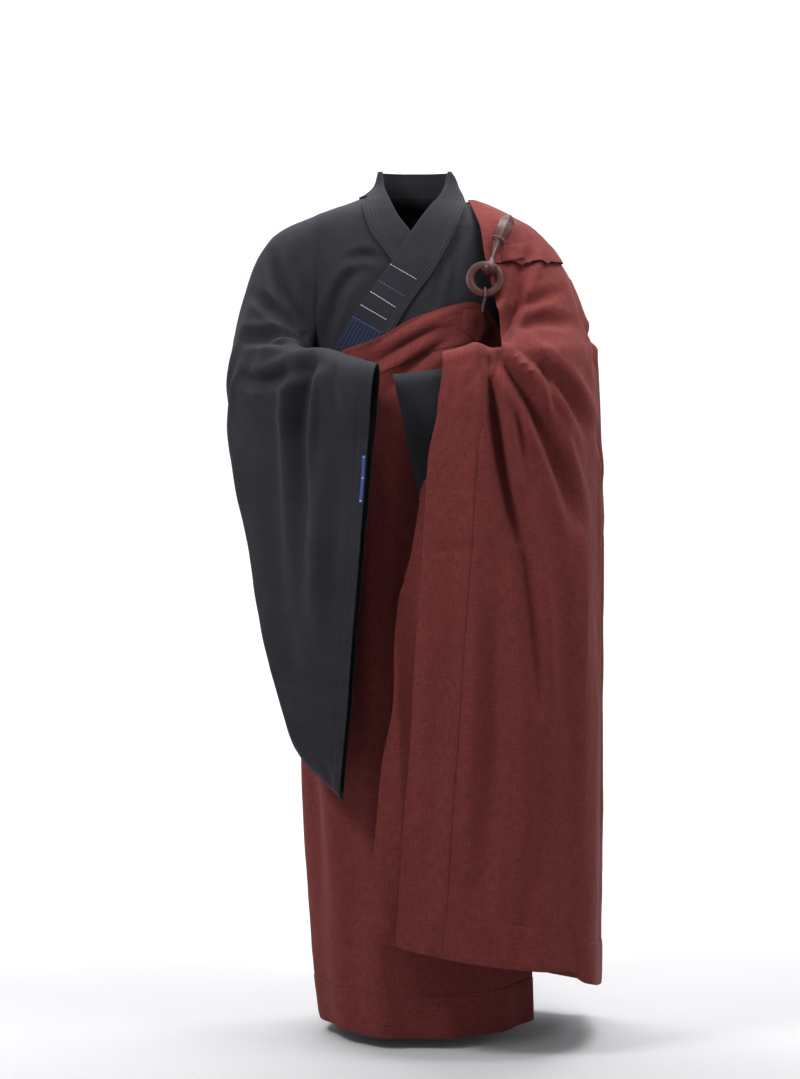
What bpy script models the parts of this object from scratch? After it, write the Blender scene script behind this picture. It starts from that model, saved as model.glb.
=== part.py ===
"""A two-layer monk's robe in its worn form: a black under robe and a russet kasaya with its wooden clasp.

Metres, +Z up, the wearer faces -Y. Heights in the tables are above the floor that the wearer
stands on; the finished part is lowered so that its origin lies between the shoulders.
"around" is an angle in degrees seen from above: 0 or 360 at the wearer's left (+X), 90 at the
front, 180 at the wearer's right, 270 behind. The kasaya winds on past 360 to 450, the front again.
"""

import math

import bpy
import numpy as np
from mathutils import Vector
from mathutils.bvhtree import BVHTree

# Driving sizes
SHOULDER_HEIGHT = 1.31
CLOTH = 0.002
SEAM = 0.0003
OVERLAY = 0.0055
BORDER = 0.070
COLLAR_WALL = 0.0025
BODY_POWER = 2.2
WRAP_POWER = 2.15
MANTLE_POWER = 2.3

# Colours: linear red, green and blue, then roughness
BLACK_CLOTH = ((0.012, 0.012, 0.015), 0.85)
RUSSET_CLOTH = ((0.115, 0.030, 0.026), 0.85)
DARK_WOOD = ((0.045, 0.010, 0.007), 0.35)
DARK_CORD = ((0.05, 0.012, 0.012), 0.8)

# Under robe body, its outer face. Right and left are the wearer's half widths.
BODY_SECTIONS = {
    "columns": ("height", "right", "left", "front", "back"),
    "rows": [
        (0.060, 0.132, 0.135, 0.118, 0.120),
        (0.450, 0.155, 0.155, 0.125, 0.126),
        (0.750, 0.163, 0.160, 0.127, 0.130),
        (1.000, 0.157, 0.150, 0.121, 0.118),
        (1.075, 0.160, 0.158, 0.121, 0.121),
        (1.150, 0.180, 0.176, 0.120, 0.124),
        (1.230, 0.187, 0.178, 0.113, 0.114),
        (1.275, 0.186, 0.168, 0.103, 0.101),
        (1.292, 0.183, 0.157, 0.097, 0.093),
        (1.305, 0.174, 0.134, 0.091, 0.086),
        (1.318, 0.154, 0.104, 0.084, 0.078),
        (1.330, 0.116, 0.080, 0.076, 0.068),
        (1.345, 0.079, 0.067, 0.066, 0.060),
        (1.362, 0.062, 0.059, 0.054, 0.056),
        (1.384, 0.056, 0.055, 0.042, 0.052),
    ],
}

# Kasaya wrap, its inner face, from the hem to the top border behind the neck.
WRAP_SECTIONS = {
    "columns": ("height", "right", "left", "front", "back"),
    "rows": [
        (0.020, 0.147, 0.190, 0.150, 0.150),
        (0.100, 0.157, 0.188, 0.152, 0.153),
        (0.260, 0.168, 0.182, 0.156, 0.158),
        (0.440, 0.178, 0.176, 0.158, 0.160),
        (0.600, 0.182, 0.170, 0.156, 0.157),
        (0.800, 0.183, 0.166, 0.146, 0.148),
        (0.980, 0.178, 0.163, 0.138, 0.134),
        (1.075, 0.180, 0.172, 0.136, 0.137),
        (1.150, 0.198, 0.189, 0.135, 0.139),
        (1.230, 0.205, 0.192, 0.128, 0.129),
        (1.275, 0.203, 0.182, 0.118, 0.115),
        (1.305, 0.190, 0.150, 0.106, 0.100),
        (1.320, 0.160, 0.116, 0.098, 0.090),
        (1.340, 0.100, 0.084, 0.080, 0.074),
    ],
}

# Kasaya mantle over the left shoulder and arm, its inner face. Outer is the half width towards
# the arm, spread the half width of the flat front towards the free edge.
MANTLE_SECTIONS = {
    "columns": ("height", "centre", "outer", "spread", "front", "back"),
    "rows": [
        (0.070, 0.130, 0.169, 0.46, 0.228, 0.160),
        (0.400, 0.130, 0.169, 0.46, 0.233, 0.160),
        (0.600, 0.130, 0.169, 0.46, 0.237, 0.158),
        (0.800, 0.130, 0.167, 0.46, 0.240, 0.156),
        (1.010, 0.130, 0.162, 0.46, 0.240, 0.150),
        (1.060, 0.131, 0.158, 0.42, 0.236, 0.147),
        (1.100, 0.132, 0.153, 0.36, 0.222, 0.144),
        (1.125, 0.132, 0.145, 0.28, 0.184, 0.141),
        (1.150, 0.130, 0.139, 0.20, 0.158, 0.138),
        (1.200, 0.119, 0.132, 0.16, 0.134, 0.130),
        (1.250, 0.108, 0.113, 0.12, 0.115, 0.115),
        (1.290, 0.102, 0.084, 0.10, 0.096, 0.094),
        (1.318, 0.092, 0.045, 0.07, 0.062, 0.062),
        (1.336, 0.084, 0.012, 0.03, 0.026, 0.026),
    ],
}
MANTLE_BACK_OF_CENTRE = -0.008

# The kasaya's top border and hem along its length
BORDER_LINES = {
    "columns": ("around", "top", "split", "hem"),
    "rows": [
        (14, 1.020, 0.940, 0.022),
        (40, 1.100, 0.980, 0.020),
        (52, 1.155, 1.010, 0.019),
        (64, 1.176, 1.020, 0.018),
        (86, 1.158, 1.010, 0.017),
        (106, 1.121, 0.990, 0.018),
        (130, 1.096, 0.980, 0.020),
        (155, 1.058, 0.960, 0.022),
        (180, 1.046, 0.950, 0.024),
        (215, 1.074, 0.970, 0.030),
        (240, 1.145, 1.020, 0.036),
        (262, 1.245, 1.060, 0.044),
        (286, 1.334, 1.100, 0.054),
        (315, 1.336, 1.100, 0.066),
        (360, 1.336, 1.100, 0.080),
        (398, 1.336, 1.100, 0.108),
        (412, 1.336, 1.100, 0.134),
        (450, 1.336, 1.100, 0.150),
        (480, 1.336, 1.078, 0.180),
    ],
}
WRAP_START, WRAP_RIGHT, WRAP_BACK_END = 14, 178, 286
SIDE_END, VALLEY = 404, 450
INNER_DEPTH = 0.027
INNER_TOP = 0.95

# Free edges, their place across the front at each height
FREE_EDGES = {
    "columns": ("height", "fall", "inner"),
    "rows": [
        (0.180, -0.0291, -0.0823),
        (0.240, -0.0245, -0.0755),
        (0.367, -0.0169, -0.0620),
        (0.489, -0.0077, -0.0470),
        (0.661, 0.0030, -0.0265),
        (0.808, 0.0123, -0.0090),
        (0.946, 0.0199, 0.0110),
        (1.018, 0.0337, 0.0160),
        (1.100, 0.0500, 0.0200),
    ],
}

# The main folds. A fold runs from its start through a bend to its end, in the plane that is
# seen from its side: across and height. A negative depth is a ridge.
FOLD_COLUMNS = ("side", "start", "start_h", "bend", "bend_h", "end", "end_h", "width", "depth")
MANTLE_FOLDS = [
    ("front", 0.132, 1.112, 0.160, 1.150, 0.166, 1.230, 0.018, 0.010),
    ("front", 0.134, 1.118, 0.150, 1.160, 0.222, 1.190, 0.018, 0.008),
    ("front", 0.140, 1.122, 0.180, 1.145, 0.260, 1.130, 0.018, 0.010),
    ("front", 0.150, 1.098, 0.215, 1.070, 0.265, 0.985, 0.018, 0.011),
    ("front", 0.120, 1.095, 0.185, 1.010, 0.250, 0.835, 0.018, 0.014),
    ("front", 0.190, 1.040, 0.205, 0.960, 0.212, 0.900, 0.018, 0.008),
    ("front", 0.235, 1.055, 0.270, 1.000, 0.285, 0.965, 0.018, -0.008),
    ("front", 0.215, 0.820, 0.222, 0.600, 0.216, 0.330, 0.018, 0.007),
    ("front", 0.160, 0.640, 0.170, 0.450, 0.165, 0.200, 0.024, -0.006),
    ("left", 0.020, 1.230, 0.030, 1.000, 0.020, 0.150, 0.020, 0.011),
    ("left", -0.060, 1.180, -0.070, 0.900, -0.065, 0.300, 0.020, 0.009),
    ("left", 0.090, 1.150, 0.100, 0.800, 0.095, 0.120, 0.020, 0.010),
    ("back", 0.190, 1.230, 0.200, 0.900, 0.205, 0.100, 0.020, 0.012),
    ("back", 0.110, 1.260, 0.130, 0.900, 0.125, 0.100, 0.020, 0.010),
]
FALL_FOLDS = [
    ("front", 0.112, 1.085, 0.118, 0.980, 0.138, 0.760, 0.018, 0.014),
    ("front", 0.020, 0.812, 0.060, 0.790, 0.100, 0.800, 0.018, 0.006),
    ("front", 0.075, 0.720, 0.085, 0.500, 0.075, 0.260, 0.024, -0.006),
    ("front", 0.030, 0.620, 0.030, 0.450, 0.020, 0.260, 0.018, 0.005),
]
WRAP_FOLDS = [
    ("front", -0.110, 0.900, -0.100, 0.600, -0.085, 0.060, 0.022, 0.009),
    ("front", -0.060, 0.800, -0.055, 0.500, -0.045, 0.060, 0.020, -0.007),
    ("front", 0.040, 1.150, -0.030, 1.130, -0.100, 1.080, 0.018, 0.005),
    ("front", 0.060, 1.120, -0.020, 1.090, -0.110, 1.040, 0.018, 0.006),
    ("right", 0.010, 0.950, 0.020, 0.600, 0.010, 0.060, 0.024, 0.009),
    ("back", -0.120, 1.060, -0.090, 0.700, -0.100, 0.070, 0.022, 0.010),
    ("back", -0.060, 1.130, 0.000, 0.800, -0.030, 0.080, 0.022, 0.009),
    ("back", -0.100, 1.100, 0.000, 1.190, 0.070, 1.300, 0.018, 0.006),
    ("back", -0.090, 1.040, 0.010, 1.110, 0.100, 1.240, 0.018, 0.007),
    ("back", 0.040, 1.150, 0.050, 0.700, 0.040, 0.090, 0.022, 0.010),
]
INNER_FOLDS = [
    ("front", 0.060, 0.900, 0.030, 0.500, -0.010, 0.200, 0.018, 0.006),
]
BODY_FOLDS = [
    ("front", -0.060, 1.245, -0.080, 1.250, -0.105, 1.245, 0.014, 0.004),
]
SLEEVE_FOLDS = [
    ("front", -0.187, 1.290, -0.186, 1.200, -0.170, 1.135, 0.018, 0.006),
    ("front", -0.225, 1.245, -0.205, 1.180, -0.178, 1.125, 0.018, 0.008),
    ("front", -0.258, 1.185, -0.215, 1.150, -0.180, 1.118, 0.018, 0.008),
    ("front", -0.285, 1.085, -0.230, 1.105, -0.175, 1.112, 0.018, 0.011),
    ("front", -0.280, 1.068, -0.230, 1.045, -0.170, 1.085, 0.018, 0.011),
    ("front", -0.152, 1.078, -0.190, 1.010, -0.178, 0.820, 0.018, 0.014),
    ("front", -0.148, 0.920, -0.158, 0.780, -0.150, 0.660, 0.018, -0.008),
    ("front", -0.215, 0.900, -0.220, 0.750, -0.190, 0.590, 0.020, 0.007),
    ("back", -0.230, 1.230, -0.240, 1.100, -0.225, 0.900, 0.018, 0.009),
    ("back", -0.180, 1.150, -0.190, 0.900, -0.170, 0.650, 0.018, 0.009),
]

# Sleeve rings. Each ring reaches from its inner edge, under the arm or along the top of the
# forearm, to its outer edge, over the shoulder and round the hanging bag to its tip.
SLEEVE_COLUMNS = (
    "inner_x", "inner_y", "inner_h", "outer_x", "outer_y", "outer_h", "arm_place", "arm", "flat",
)
ARMHOLE = 0.155
RIGHT_SLEEVE = [
    (-0.177, -0.030, 1.072, -0.230, 0.004, 1.278, 0.50, 0.064, 0.050),
    (-0.188, -0.072, 1.086, -0.267, 0.010, 1.196, 0.50, 0.060, 0.048),
    (-0.181, -0.122, 1.098, -0.287, 0.010, 1.068, 0.50, 0.054, 0.046),
    (-0.161, -0.165, 1.106, -0.280, 0.000, 0.940, 0.36, 0.048, 0.036),
    (-0.136, -0.195, 1.104, -0.254, -0.030, 0.790, 0.22, 0.044, 0.030),
    (-0.110, -0.218, 1.098, -0.225, -0.070, 0.630, 0.13, 0.040, 0.025),
    (-0.083, -0.237, 1.089, -0.186, -0.120, 0.474, 0.09, 0.035, 0.021),
    (-0.058, -0.252, 1.079, -0.114, -0.190, 0.404, 0.07, 0.029, 0.017),
]
LEFT_SLEEVE = [
    (0.176, -0.020, 1.066, 0.190, 0.003, 1.258, 0.50, 0.052, 0.042),
    (0.186, -0.055, 1.066, 0.224, 0.006, 1.180, 0.50, 0.048, 0.038),
    (0.184, -0.098, 1.066, 0.248, 0.004, 1.060, 0.50, 0.042, 0.034),
    (0.164, -0.145, 1.068, 0.246, -0.012, 0.950, 0.36, 0.036, 0.024),
    (0.124, -0.182, 1.070, 0.232, -0.060, 0.830, 0.22, 0.030, 0.015),
    (0.070, -0.200, 1.072, 0.202, -0.125, 0.690, 0.13, 0.027, 0.010),
    (0.018, -0.205, 1.070, 0.146, -0.176, 0.600, 0.09, 0.024, 0.009),
    (-0.034, -0.206, 1.064, 0.072, -0.188, 0.560, 0.08, 0.021, 0.009),
]
ARM_WIDTH = 0.075

# Collar bands in the front: across and height of the inner edge, then of the outer edge
OVER_BAND = [
    (0.0490, 1.381, 0.0560, 1.370),
    (0.0440, 1.358, 0.0690, 1.342),
    (0.0340, 1.337, 0.0760, 1.322),
    (0.0160, 1.314, 0.0680, 1.300),
    (-0.0110, 1.277, 0.0480, 1.256),
    (-0.0350, 1.239, 0.0265, 1.220),
    (-0.0580, 1.207, 0.0030, 1.188),
    (-0.0840, 1.170, -0.0220, 1.150),
    (-0.1030, 1.141, -0.0400, 1.118),
    (-0.1210, 1.106, -0.0600, 1.083),
]
UNDER_BAND = [
    (-0.0500, 1.381, -0.0560, 1.368),
    (-0.0480, 1.360, -0.0740, 1.342),
    (-0.0400, 1.338, -0.0820, 1.325),
    (-0.0270, 1.312, -0.0700, 1.287),
    (-0.0110, 1.291, -0.0460, 1.254),
    (0.0100, 1.262, -0.0280, 1.226),
]
BACK_COLLAR_TOP, BACK_COLLAR_LOW = 1.383, 1.3403

# Clasp
RING_OUTER, RING_HOLE, RING_THICK = 0.060, 0.032, 0.008
RING_CENTRE = (0.108, -0.1510, 1.210)
RING_TILT = 20
KNOB_RADIUS = 0.0125
KNOB_CENTRE = (0.1150, -0.1618, 1.2266)
HOOK_SECTIONS = {
    "columns": ("across", "depth", "height", "half_width", "half_thick"),
    "rows": [
        (0.1170, -0.1592, 1.2330, 0.0070, 0.0070),
        (0.1195, -0.1515, 1.2430, 0.0038, 0.0038),
        (0.1235, -0.1425, 1.2560, 0.0046, 0.0038),
        (0.1300, -0.1300, 1.2720, 0.0080, 0.0042),
        (0.1375, -0.1175, 1.2880, 0.0108, 0.0044),
        (0.1440, -0.0985, 1.3010, 0.0118, 0.0040),
        (0.1480, -0.0905, 1.3090, 0.0070, 0.0028),
        (0.1495, -0.0875, 1.3120, 0.0020, 0.0015),
    ],
}
LOOP_CORD = 0.0015
RING_LOOP_TOWARDS = (-0.10, 1.50, -1.00)
RING_LOOP_RADIUS = 0.0096
RING_LOOP_REACH = 0.0440
RING_LOOP_SLACK = 0.0013
HOOK_LOOP = {"centre": (0.1300, -0.1300, 1.2720), "half_width": 0.0108, "front": 0.0066, "back": 0.0090}

# Tabs that carry the clasp: corners of each, with the depth they are laid on from
RING_TAB = [(0.074, 0, 1.166), (0.104, 0, 1.160), (0.118, 0, 1.126), (0.086, 0, 1.112)]
HOOK_TAB = [(0.130, 0, 1.262), (0.172, 0, 1.268), (0.168, 0, 1.243), (0.134, 0, 1.238)]


def smooth(value, low, high):
    """0 below low, 1 above high, with an even slope between."""
    t = np.clip((np.asarray(value, float) - low) / (high - low), 0, 1)
    return t * t * (3 - 2 * t)


def through(places, values, wanted):
    """A smooth curve through the rows of a table that doesn't overshoot them."""
    step = np.diff(places)
    rise = np.diff(values) / step
    slope = np.zeros_like(values)
    before, after = rise[:-1], rise[1:]
    same = before * after > 0
    slope[1:-1][same] = 2 * before[same] * after[same] / (before[same] + after[same])
    slope[0], slope[-1] = rise[0], rise[-1]
    wanted = np.clip(np.asarray(wanted, float), places[0], places[-1])
    i = np.clip(np.searchsorted(places, wanted) - 1, 0, len(step) - 1)
    t = (wanted - places[i]) / step[i]
    start = (1 + 2 * t) * (1 - t) ** 2 * values[i] + t * (1 - t) ** 2 * step[i] * slope[i]
    end = t * t * (3 - 2 * t) * values[i + 1] + t * t * (t - 1) * step[i] * slope[i + 1]
    return start + end


def column(table, name, place):
    """A named column of a table at a place along its first column."""
    rows = np.array(table["rows"], float)
    return through(rows[:, 0], rows[:, table["columns"].index(name)], place)


def oval(around, right, left, front, back, power):
    """A point of an oval section, from its half widths and depths."""
    turn = np.radians(around)
    c, s = np.cos(turn), np.sin(turn)
    half = np.where(c < 0, right, left)
    deep = np.where(s > 0, front, back)
    x = half * np.sign(c) * np.abs(c) ** (2 / power)
    y = -deep * np.sign(s) * np.abs(s) ** (2 / power)
    return x, y


def body_base(around, height):
    sides = [column(BODY_SECTIONS, name, height) for name in BODY_SECTIONS["columns"][1:]]
    x, y = oval(around, *sides, BODY_POWER)
    return np.stack([x, y, np.broadcast_to(height, x.shape)], -1)


def wrap_base(around, height):
    sides = [column(WRAP_SECTIONS, name, height) for name in WRAP_SECTIONS["columns"][1:]]
    x, y = oval(around, *sides, WRAP_POWER)
    return np.stack([x, y, np.broadcast_to(height, x.shape)], -1)


def mantle_base(around, height):
    sizes = {n: column(MANTLE_SECTIONS, n, height) for n in MANTLE_SECTIONS["columns"][1:]}
    x, y = oval(
        around, sizes["spread"], sizes["outer"], sizes["front"], sizes["back"], MANTLE_POWER
    )
    return np.stack(
        [x + sizes["centre"], y + MANTLE_BACK_OF_CENTRE, np.broadcast_to(height, x.shape)], -1
    )


def kasaya_base(around, height):
    """The kasaya's inner face: the wrap passes into the mantle behind the left shoulder."""
    share = smooth(around, 252, 335)[..., None]
    return (1 - share) * wrap_base(around, height) + share * mantle_base(around, height)


def normal_of(base, around, height):
    """The outward normal of a surface given by around and height."""
    turn, rise = 0.6, 0.0015
    low, high = np.maximum(height - rise, 0.001), height + rise
    along = base(around + turn, height) - base(around - turn, height)
    up = base(around, high) - base(around, low)
    n = np.cross(up, along)
    return n / np.maximum(np.linalg.norm(n, axis=-1, keepdims=True), 1e-12)


VIEWED_FROM = {
    "front": (np.array([0, -1, 0]), 0),
    "back": (np.array([0, 1, 0]), 0),
    "left": (np.array([1, 0, 0]), 1),
    "right": (np.array([-1, 0, 0]), 1),
}


def fold_depth(points, normals, folds):
    """How far the folds push each point inwards."""
    depth = np.zeros(points.shape[:-1])
    for row in folds:
        fold = dict(zip(FOLD_COLUMNS, row))
        facing, axis = VIEWED_FROM[fold["side"]]
        t = np.linspace(0, 1, 13)[:, None]
        start, bend, end = (
            np.array([fold[name], fold[name + "_h"]]) for name in ("start", "bend", "end")
        )
        control = 2 * bend - (start + end) / 2
        line = (1 - t) ** 2 * start + 2 * t * (1 - t) * control + t * t * end
        flat = points[..., [axis, 2]]
        nearest = np.full(points.shape[:-1], np.inf)
        place = np.zeros(points.shape[:-1])
        for k in range(len(line) - 1):
            run = line[k + 1] - line[k]
            s = np.clip(((flat - line[k]) @ run) / (run @ run), 0, 1)
            away = np.linalg.norm(flat - line[k] - s[..., None] * run, axis=-1)
            closer = away < nearest
            nearest = np.where(closer, away, nearest)
            place = np.where(closer, (k + s) / (len(line) - 1), place)
        taper = np.sin(np.pi * np.clip(place, 0.02, 0.98)) ** 0.5
        shown = smooth(normals @ facing, 0.15, 0.55)
        depth += fold["depth"] * taper * shown * np.exp(-((nearest / fold["width"]) ** 2))
    return depth


def folded(base, folds):
    """A surface with its folds pushed in along its normals."""

    def surface(around, height):
        points = base(around, height)
        normals = normal_of(base, around, height)
        return points - normals * fold_depth(points, normals, folds)[..., None]

    return surface


def flute(around, height):
    """Soft upright waves that grow towards the kasaya's hem."""
    strength = 0.006 * smooth(-height, -0.9, -0.1)
    return strength * np.sin(np.radians(around * 9)) * np.sin(np.radians(around * 2.3 + 40))


def fluted(base):
    def surface(around, height):
        return base(around, height) + normal_of(base, around, height) * flute(around, height)[..., None]

    return surface


kasaya_plain = fluted(kasaya_base)
wrap_surface = folded(kasaya_plain, WRAP_FOLDS)
mantle_surface = folded(kasaya_plain, WRAP_FOLDS + MANTLE_FOLDS + FALL_FOLDS)
body_surface = folded(body_base, BODY_FOLDS)


def inset_surface(around, height):
    """The inner fall's face: level with the side at its start, then behind the forearm."""
    points = mantle_surface(around, height)
    start = 0.014 * smooth(height, 0.80, 0.87)
    inset = start + (INNER_DEPTH - start) * smooth(around, SIDE_END + 3, 436)
    return points - normal_of(kasaya_base, around, height) * inset[..., None]


inner_surface = folded(inset_surface, INNER_FOLDS)


def lap_surface(around, height):
    """The left front's face: its lower outer edge laps over the side layer."""
    points = mantle_surface(around, height)
    lap = 0.011 * smooth(-height, -0.86, -0.79) * smooth(-around, -424, -SIDE_END - 0.5)
    return points + normal_of(mantle_surface, around, height) * lap[..., None]


def at_across(across, height):
    """The around angle in the flat front where the mantle's face is at a place across."""
    centre = column(MANTLE_SECTIONS, "centre", height)
    spread = column(MANTLE_SECTIONS, "spread", height)
    c = np.clip((centre - across) / spread, 0, 1) ** (MANTLE_POWER / 2)
    return 450 + np.degrees(np.arcsin(c))


def body_angle(across, height):
    """The around angle on the under robe's front at a place across."""
    right = column(BODY_SECTIONS, "right", height)
    left = column(BODY_SECTIONS, "left", height)
    share = across / np.where(across < 0, right, left)
    c = np.sign(share) * np.clip(np.abs(share), 0, 1) ** (BODY_POWER / 2)
    return np.degrees(np.arccos(c))


def material(name, look):
    found = bpy.data.materials.get(name)
    if found:
        return found
    made = bpy.data.materials.new(name)
    made.use_nodes = True
    shader = made.node_tree.nodes["Principled BSDF"]
    colour, roughness = look
    shader.inputs["Base Color"].default_value = (*colour, 1)
    shader.inputs["Roughness"].default_value = roughness
    shader.inputs["Metallic"].default_value = 0
    return made


def add_mesh(name, points, faces, look_name, look):
    """One object from points and faces, turned so that its faces point out."""
    points = np.asarray(points, float) - np.array([0, 0, SHOULDER_HEIGHT])
    corners = points[np.array(faces)]
    volume = np.einsum("ij,ij->i", corners[:, 0], np.cross(corners[:, 1], corners[:, 2])).sum()
    if volume < 0:
        faces = [face[::-1] for face in faces]
    mesh = bpy.data.meshes.new(name)
    mesh.from_pydata([tuple(p) for p in points], [], [tuple(map(int, f)) for f in faces])
    mesh.materials.append(material(look_name, look))
    mesh.shade_smooth()
    mesh.set_sharp_from_angle(angle=math.radians(50))
    part = bpy.data.objects.new(name, mesh)
    collection.objects.link(part)
    return part


def wall(name, outer, inner, look_name, look, tube=False):
    """A closed wall between two grids of points, with a rim round its open edges."""
    rows, cols = outer.shape[:2]
    number = np.arange(rows * cols).reshape(rows, cols)
    within = rows * cols
    faces = []
    spans = cols if tube else cols - 1
    for i in range(rows - 1):
        for j in range(spans):
            k = (j + 1) % cols
            a, b, c, d = number[i, j], number[i, k], number[i + 1, k], number[i + 1, j]
            faces += [(a, b, c), (a, c, d)]
            faces += [(c + within, b + within, a + within), (d + within, c + within, a + within)]
    if tube:
        edges = [list(number[0]) + [number[0, 0]], list(number[-1][::-1]) + [number[-1, -1]]]
    else:
        edges = [
            list(number[0])
            + list(number[1:, -1])
            + list(number[-1, -2::-1])
            + list(number[-2::-1, 0])
        ]
    for edge in edges:
        for a, b in zip(edge[:-1], edge[1:]):
            faces += [(b, a, a + within), (b, a + within, b + within)]
    points = np.concatenate([outer.reshape(-1, 3), inner.reshape(-1, 3)])
    return add_mesh(name, points, faces, look_name, look)


def panel(name, surface, around, height, look_name, look, lift=0.0, thick=CLOTH):
    """A wall on a surface given by around and height, from its inner face outwards."""
    normals = normal_of(surface, around, height)
    inner = surface(around, height) + normals * np.asarray(lift)[..., None]
    return wall(name, inner + normals * thick, inner, look_name, look)


def grid(columns, rows):
    return np.meshgrid(np.asarray(columns, float), np.asarray(rows, float))


def kasaya_rows(around, upper, lower):
    """Heights of a kasaya panel: from its top border to the split, to the hem's border, to the hem."""
    top = column(BORDER_LINES, "top", around)
    split = column(BORDER_LINES, "split", around)
    hem = column(BORDER_LINES, "hem", around)
    rows = [split + (top - split) * g for g in np.linspace(1, 0, upper + 1)]
    rows += [hem + BORDER + (split - hem - BORDER) * f for f in np.linspace(1, 0, lower + 1)[1:]]
    rows += [hem + BORDER / 2, hem]
    return np.stack(rows)


def russet(name, surface, around, height, **more):
    return panel(name, surface, around, height, "kasaya_cloth", RUSSET_CLOTH, **more)


def black(name, surface, around, height, **more):
    return panel(name, surface, around, height, "haiqing_cloth", BLACK_CLOTH, **more)


def seam_angle(surface, around, height):
    """The turn that makes the seam's gap at a place."""
    speed = np.linalg.norm(surface(around + 0.5, height) - surface(around - 0.5, height), axis=-1)
    return SEAM / np.maximum(speed, 1e-5)


def stretch(start, end, count, upper, lower, surface, open_start=False):
    """The around and height grids of a kasaya panel, its start edge a seam's gap past the last."""
    columns = np.linspace(start, end, count)
    height = np.stack([kasaya_rows(np.array(a), upper, lower) for a in columns], 1)
    around = np.repeat(columns[None], len(height), 0)
    if not open_start:
        around[:, 0] += seam_angle(surface, around[:, 0], height[:, 0])
    return around, height


def kasaya_pieces():
    upper, lower = 7, 11
    lift = CLOTH + SEAM
    a, h = stretch(WRAP_START, WRAP_RIGHT, 17, upper, lower, wrap_surface, open_start=True)
    russet("kasaya_front_wrap", wrap_surface, a, h)
    russet("kasaya_hem_front", wrap_surface, a[-3:], h[-3:], lift=lift)
    russet("kasaya_top_border_front", wrap_surface, a[:4, 1:], h[:4, 1:], lift=lift)
    a, h = stretch(WRAP_RIGHT, WRAP_BACK_END, 12, upper, lower, mantle_surface)
    russet("kasaya_back_wrap", mantle_surface, a, h)
    russet("kasaya_hem_back", mantle_surface, a[-3:], h[-3:], lift=lift)
    russet("kasaya_top_border_back", mantle_surface, a[:4], h[:4], lift=lift)
    side, side_h = stretch(WRAP_BACK_END, SIDE_END, 13, upper, lower, mantle_surface)
    russet("kasaya_left_side", mantle_surface, side, side_h)
    russet("kasaya_hem_side", mantle_surface, side[-3:], side_h[-3:], lift=lift)
    a, h = stretch(SIDE_END, VALLEY, 12, upper, lower, lap_surface)
    russet("kasaya_left_front", lap_surface, a, h)
    russet("kasaya_hem_left_front", lap_surface, a[-3:], h[-3:], lift=lift)
    russet(
        "kasaya_shoulder_flap",
        lap_surface,
        np.concatenate([side[:4, 4:], a[:4, 1:]], 1),
        np.concatenate([side_h[:4, 4:], h[:4, 1:]], 1),
        lift=lift,
    )
    fall(lower, lift)
    inner_fall(lower)


def fall(lower, lift):
    """The part that falls from the forearm: rolled over it at the top, its free edge bordered."""
    rows = kasaya_rows(np.array(VALLEY + 12.0), 1, lower)[1:]
    free = at_across(column(FREE_EDGES, "fall", rows), rows)
    speed = np.linalg.norm(mantle_surface(free, rows) - mantle_surface(free - 1, rows), axis=-1)
    seam = free - BORDER / speed
    start = VALLEY + 2 * seam_angle(mantle_surface, np.full_like(rows, VALLEY), rows)
    columns = [start + (seam - start) * f for f in np.linspace(0, 1, 6)]
    columns += [(seam + free) / 2, free]
    around = np.stack(columns, 1)
    valley_rows = kasaya_rows(np.array(float(VALLEY)), 1, lower)[1:]
    end_rows = kasaya_rows(np.array(480.0), 1, lower)[1:]
    share = (around - VALLEY) / (free - VALLEY)[:, None]
    height = valley_rows[:, None] * (1 - share) + end_rows[:, None] * share
    points = mantle_surface(around, height)
    normals = normal_of(mantle_surface, around, height)
    points, normals = rolled_over(points, normals, share[0])
    russet_wall("kasaya_front_fall", points, normals, 0)
    hem = slice(-3, None), slice(None, 6)
    points[-3:, 5, 0] += SEAM
    russet_wall("kasaya_hem_fall", points[hem], normals[hem], lift)
    points[-3:, 5, 0] -= SEAM
    russet_wall("kasaya_end_border", points[:, 5:], normals[:, 5:], lift)


def russet_wall(name, points, normals, lift):
    outer, inner = points + normals * (lift + CLOTH), points + normals * lift
    wall(name, outer, inner, "kasaya_cloth", RUSSET_CLOTH)


def rolled_over(points, normals, share):
    """Rows added at the top that roll the cloth over the forearm, inwards."""
    size = (0.004 + 0.014 * smooth(share, 0, 0.3))[:, None]
    rolls, turned = [], []
    for turn in np.radians([120, 80, 40]):
        inward = size * (1 - math.cos(turn)) * np.array([0, 1, 0])
        upward = size * math.sin(turn) * np.array([0, 0, 1])
        rolls.append(points[0] + inward + upward)
        turned.append(
            np.broadcast_to([0, -math.cos(turn), math.sin(turn)], points[0].shape)
        )
    return np.concatenate([rolls, points]), np.concatenate([turned, normals])


def inner_fall(lower):
    """The fold behind the forearm, from the side's edge to its own free fold."""
    rows = kasaya_rows(np.array(float(SIDE_END)), 1, lower)[1:]
    rows = rows[rows < INNER_TOP]
    start = SIDE_END + seam_angle(mantle_surface, np.full_like(rows, SIDE_END), rows)
    free = at_across(column(FREE_EDGES, "inner", rows), rows)
    shares = np.linspace(0, 1, 9)
    around = start[:, None] + (free - start)[:, None] * shares
    low = rows[-1] + (0.182 - rows[-1]) * shares
    height = rows[0] + (rows[:, None] - rows[0]) * (rows[0] - low) / (rows[0] - rows[-1])
    russet("kasaya_inner_fall", inner_surface, around, height)
    russet(
        "kasaya_hem_inner", inner_surface, around[-3:, 1:], height[-3:, 1:], lift=CLOTH + SEAM
    )


ARMHOLE_ROWS = 11
BODY_LOW_ROWS = (0.95, 0.78, 0.56, 0.32, 0.06)


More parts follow.
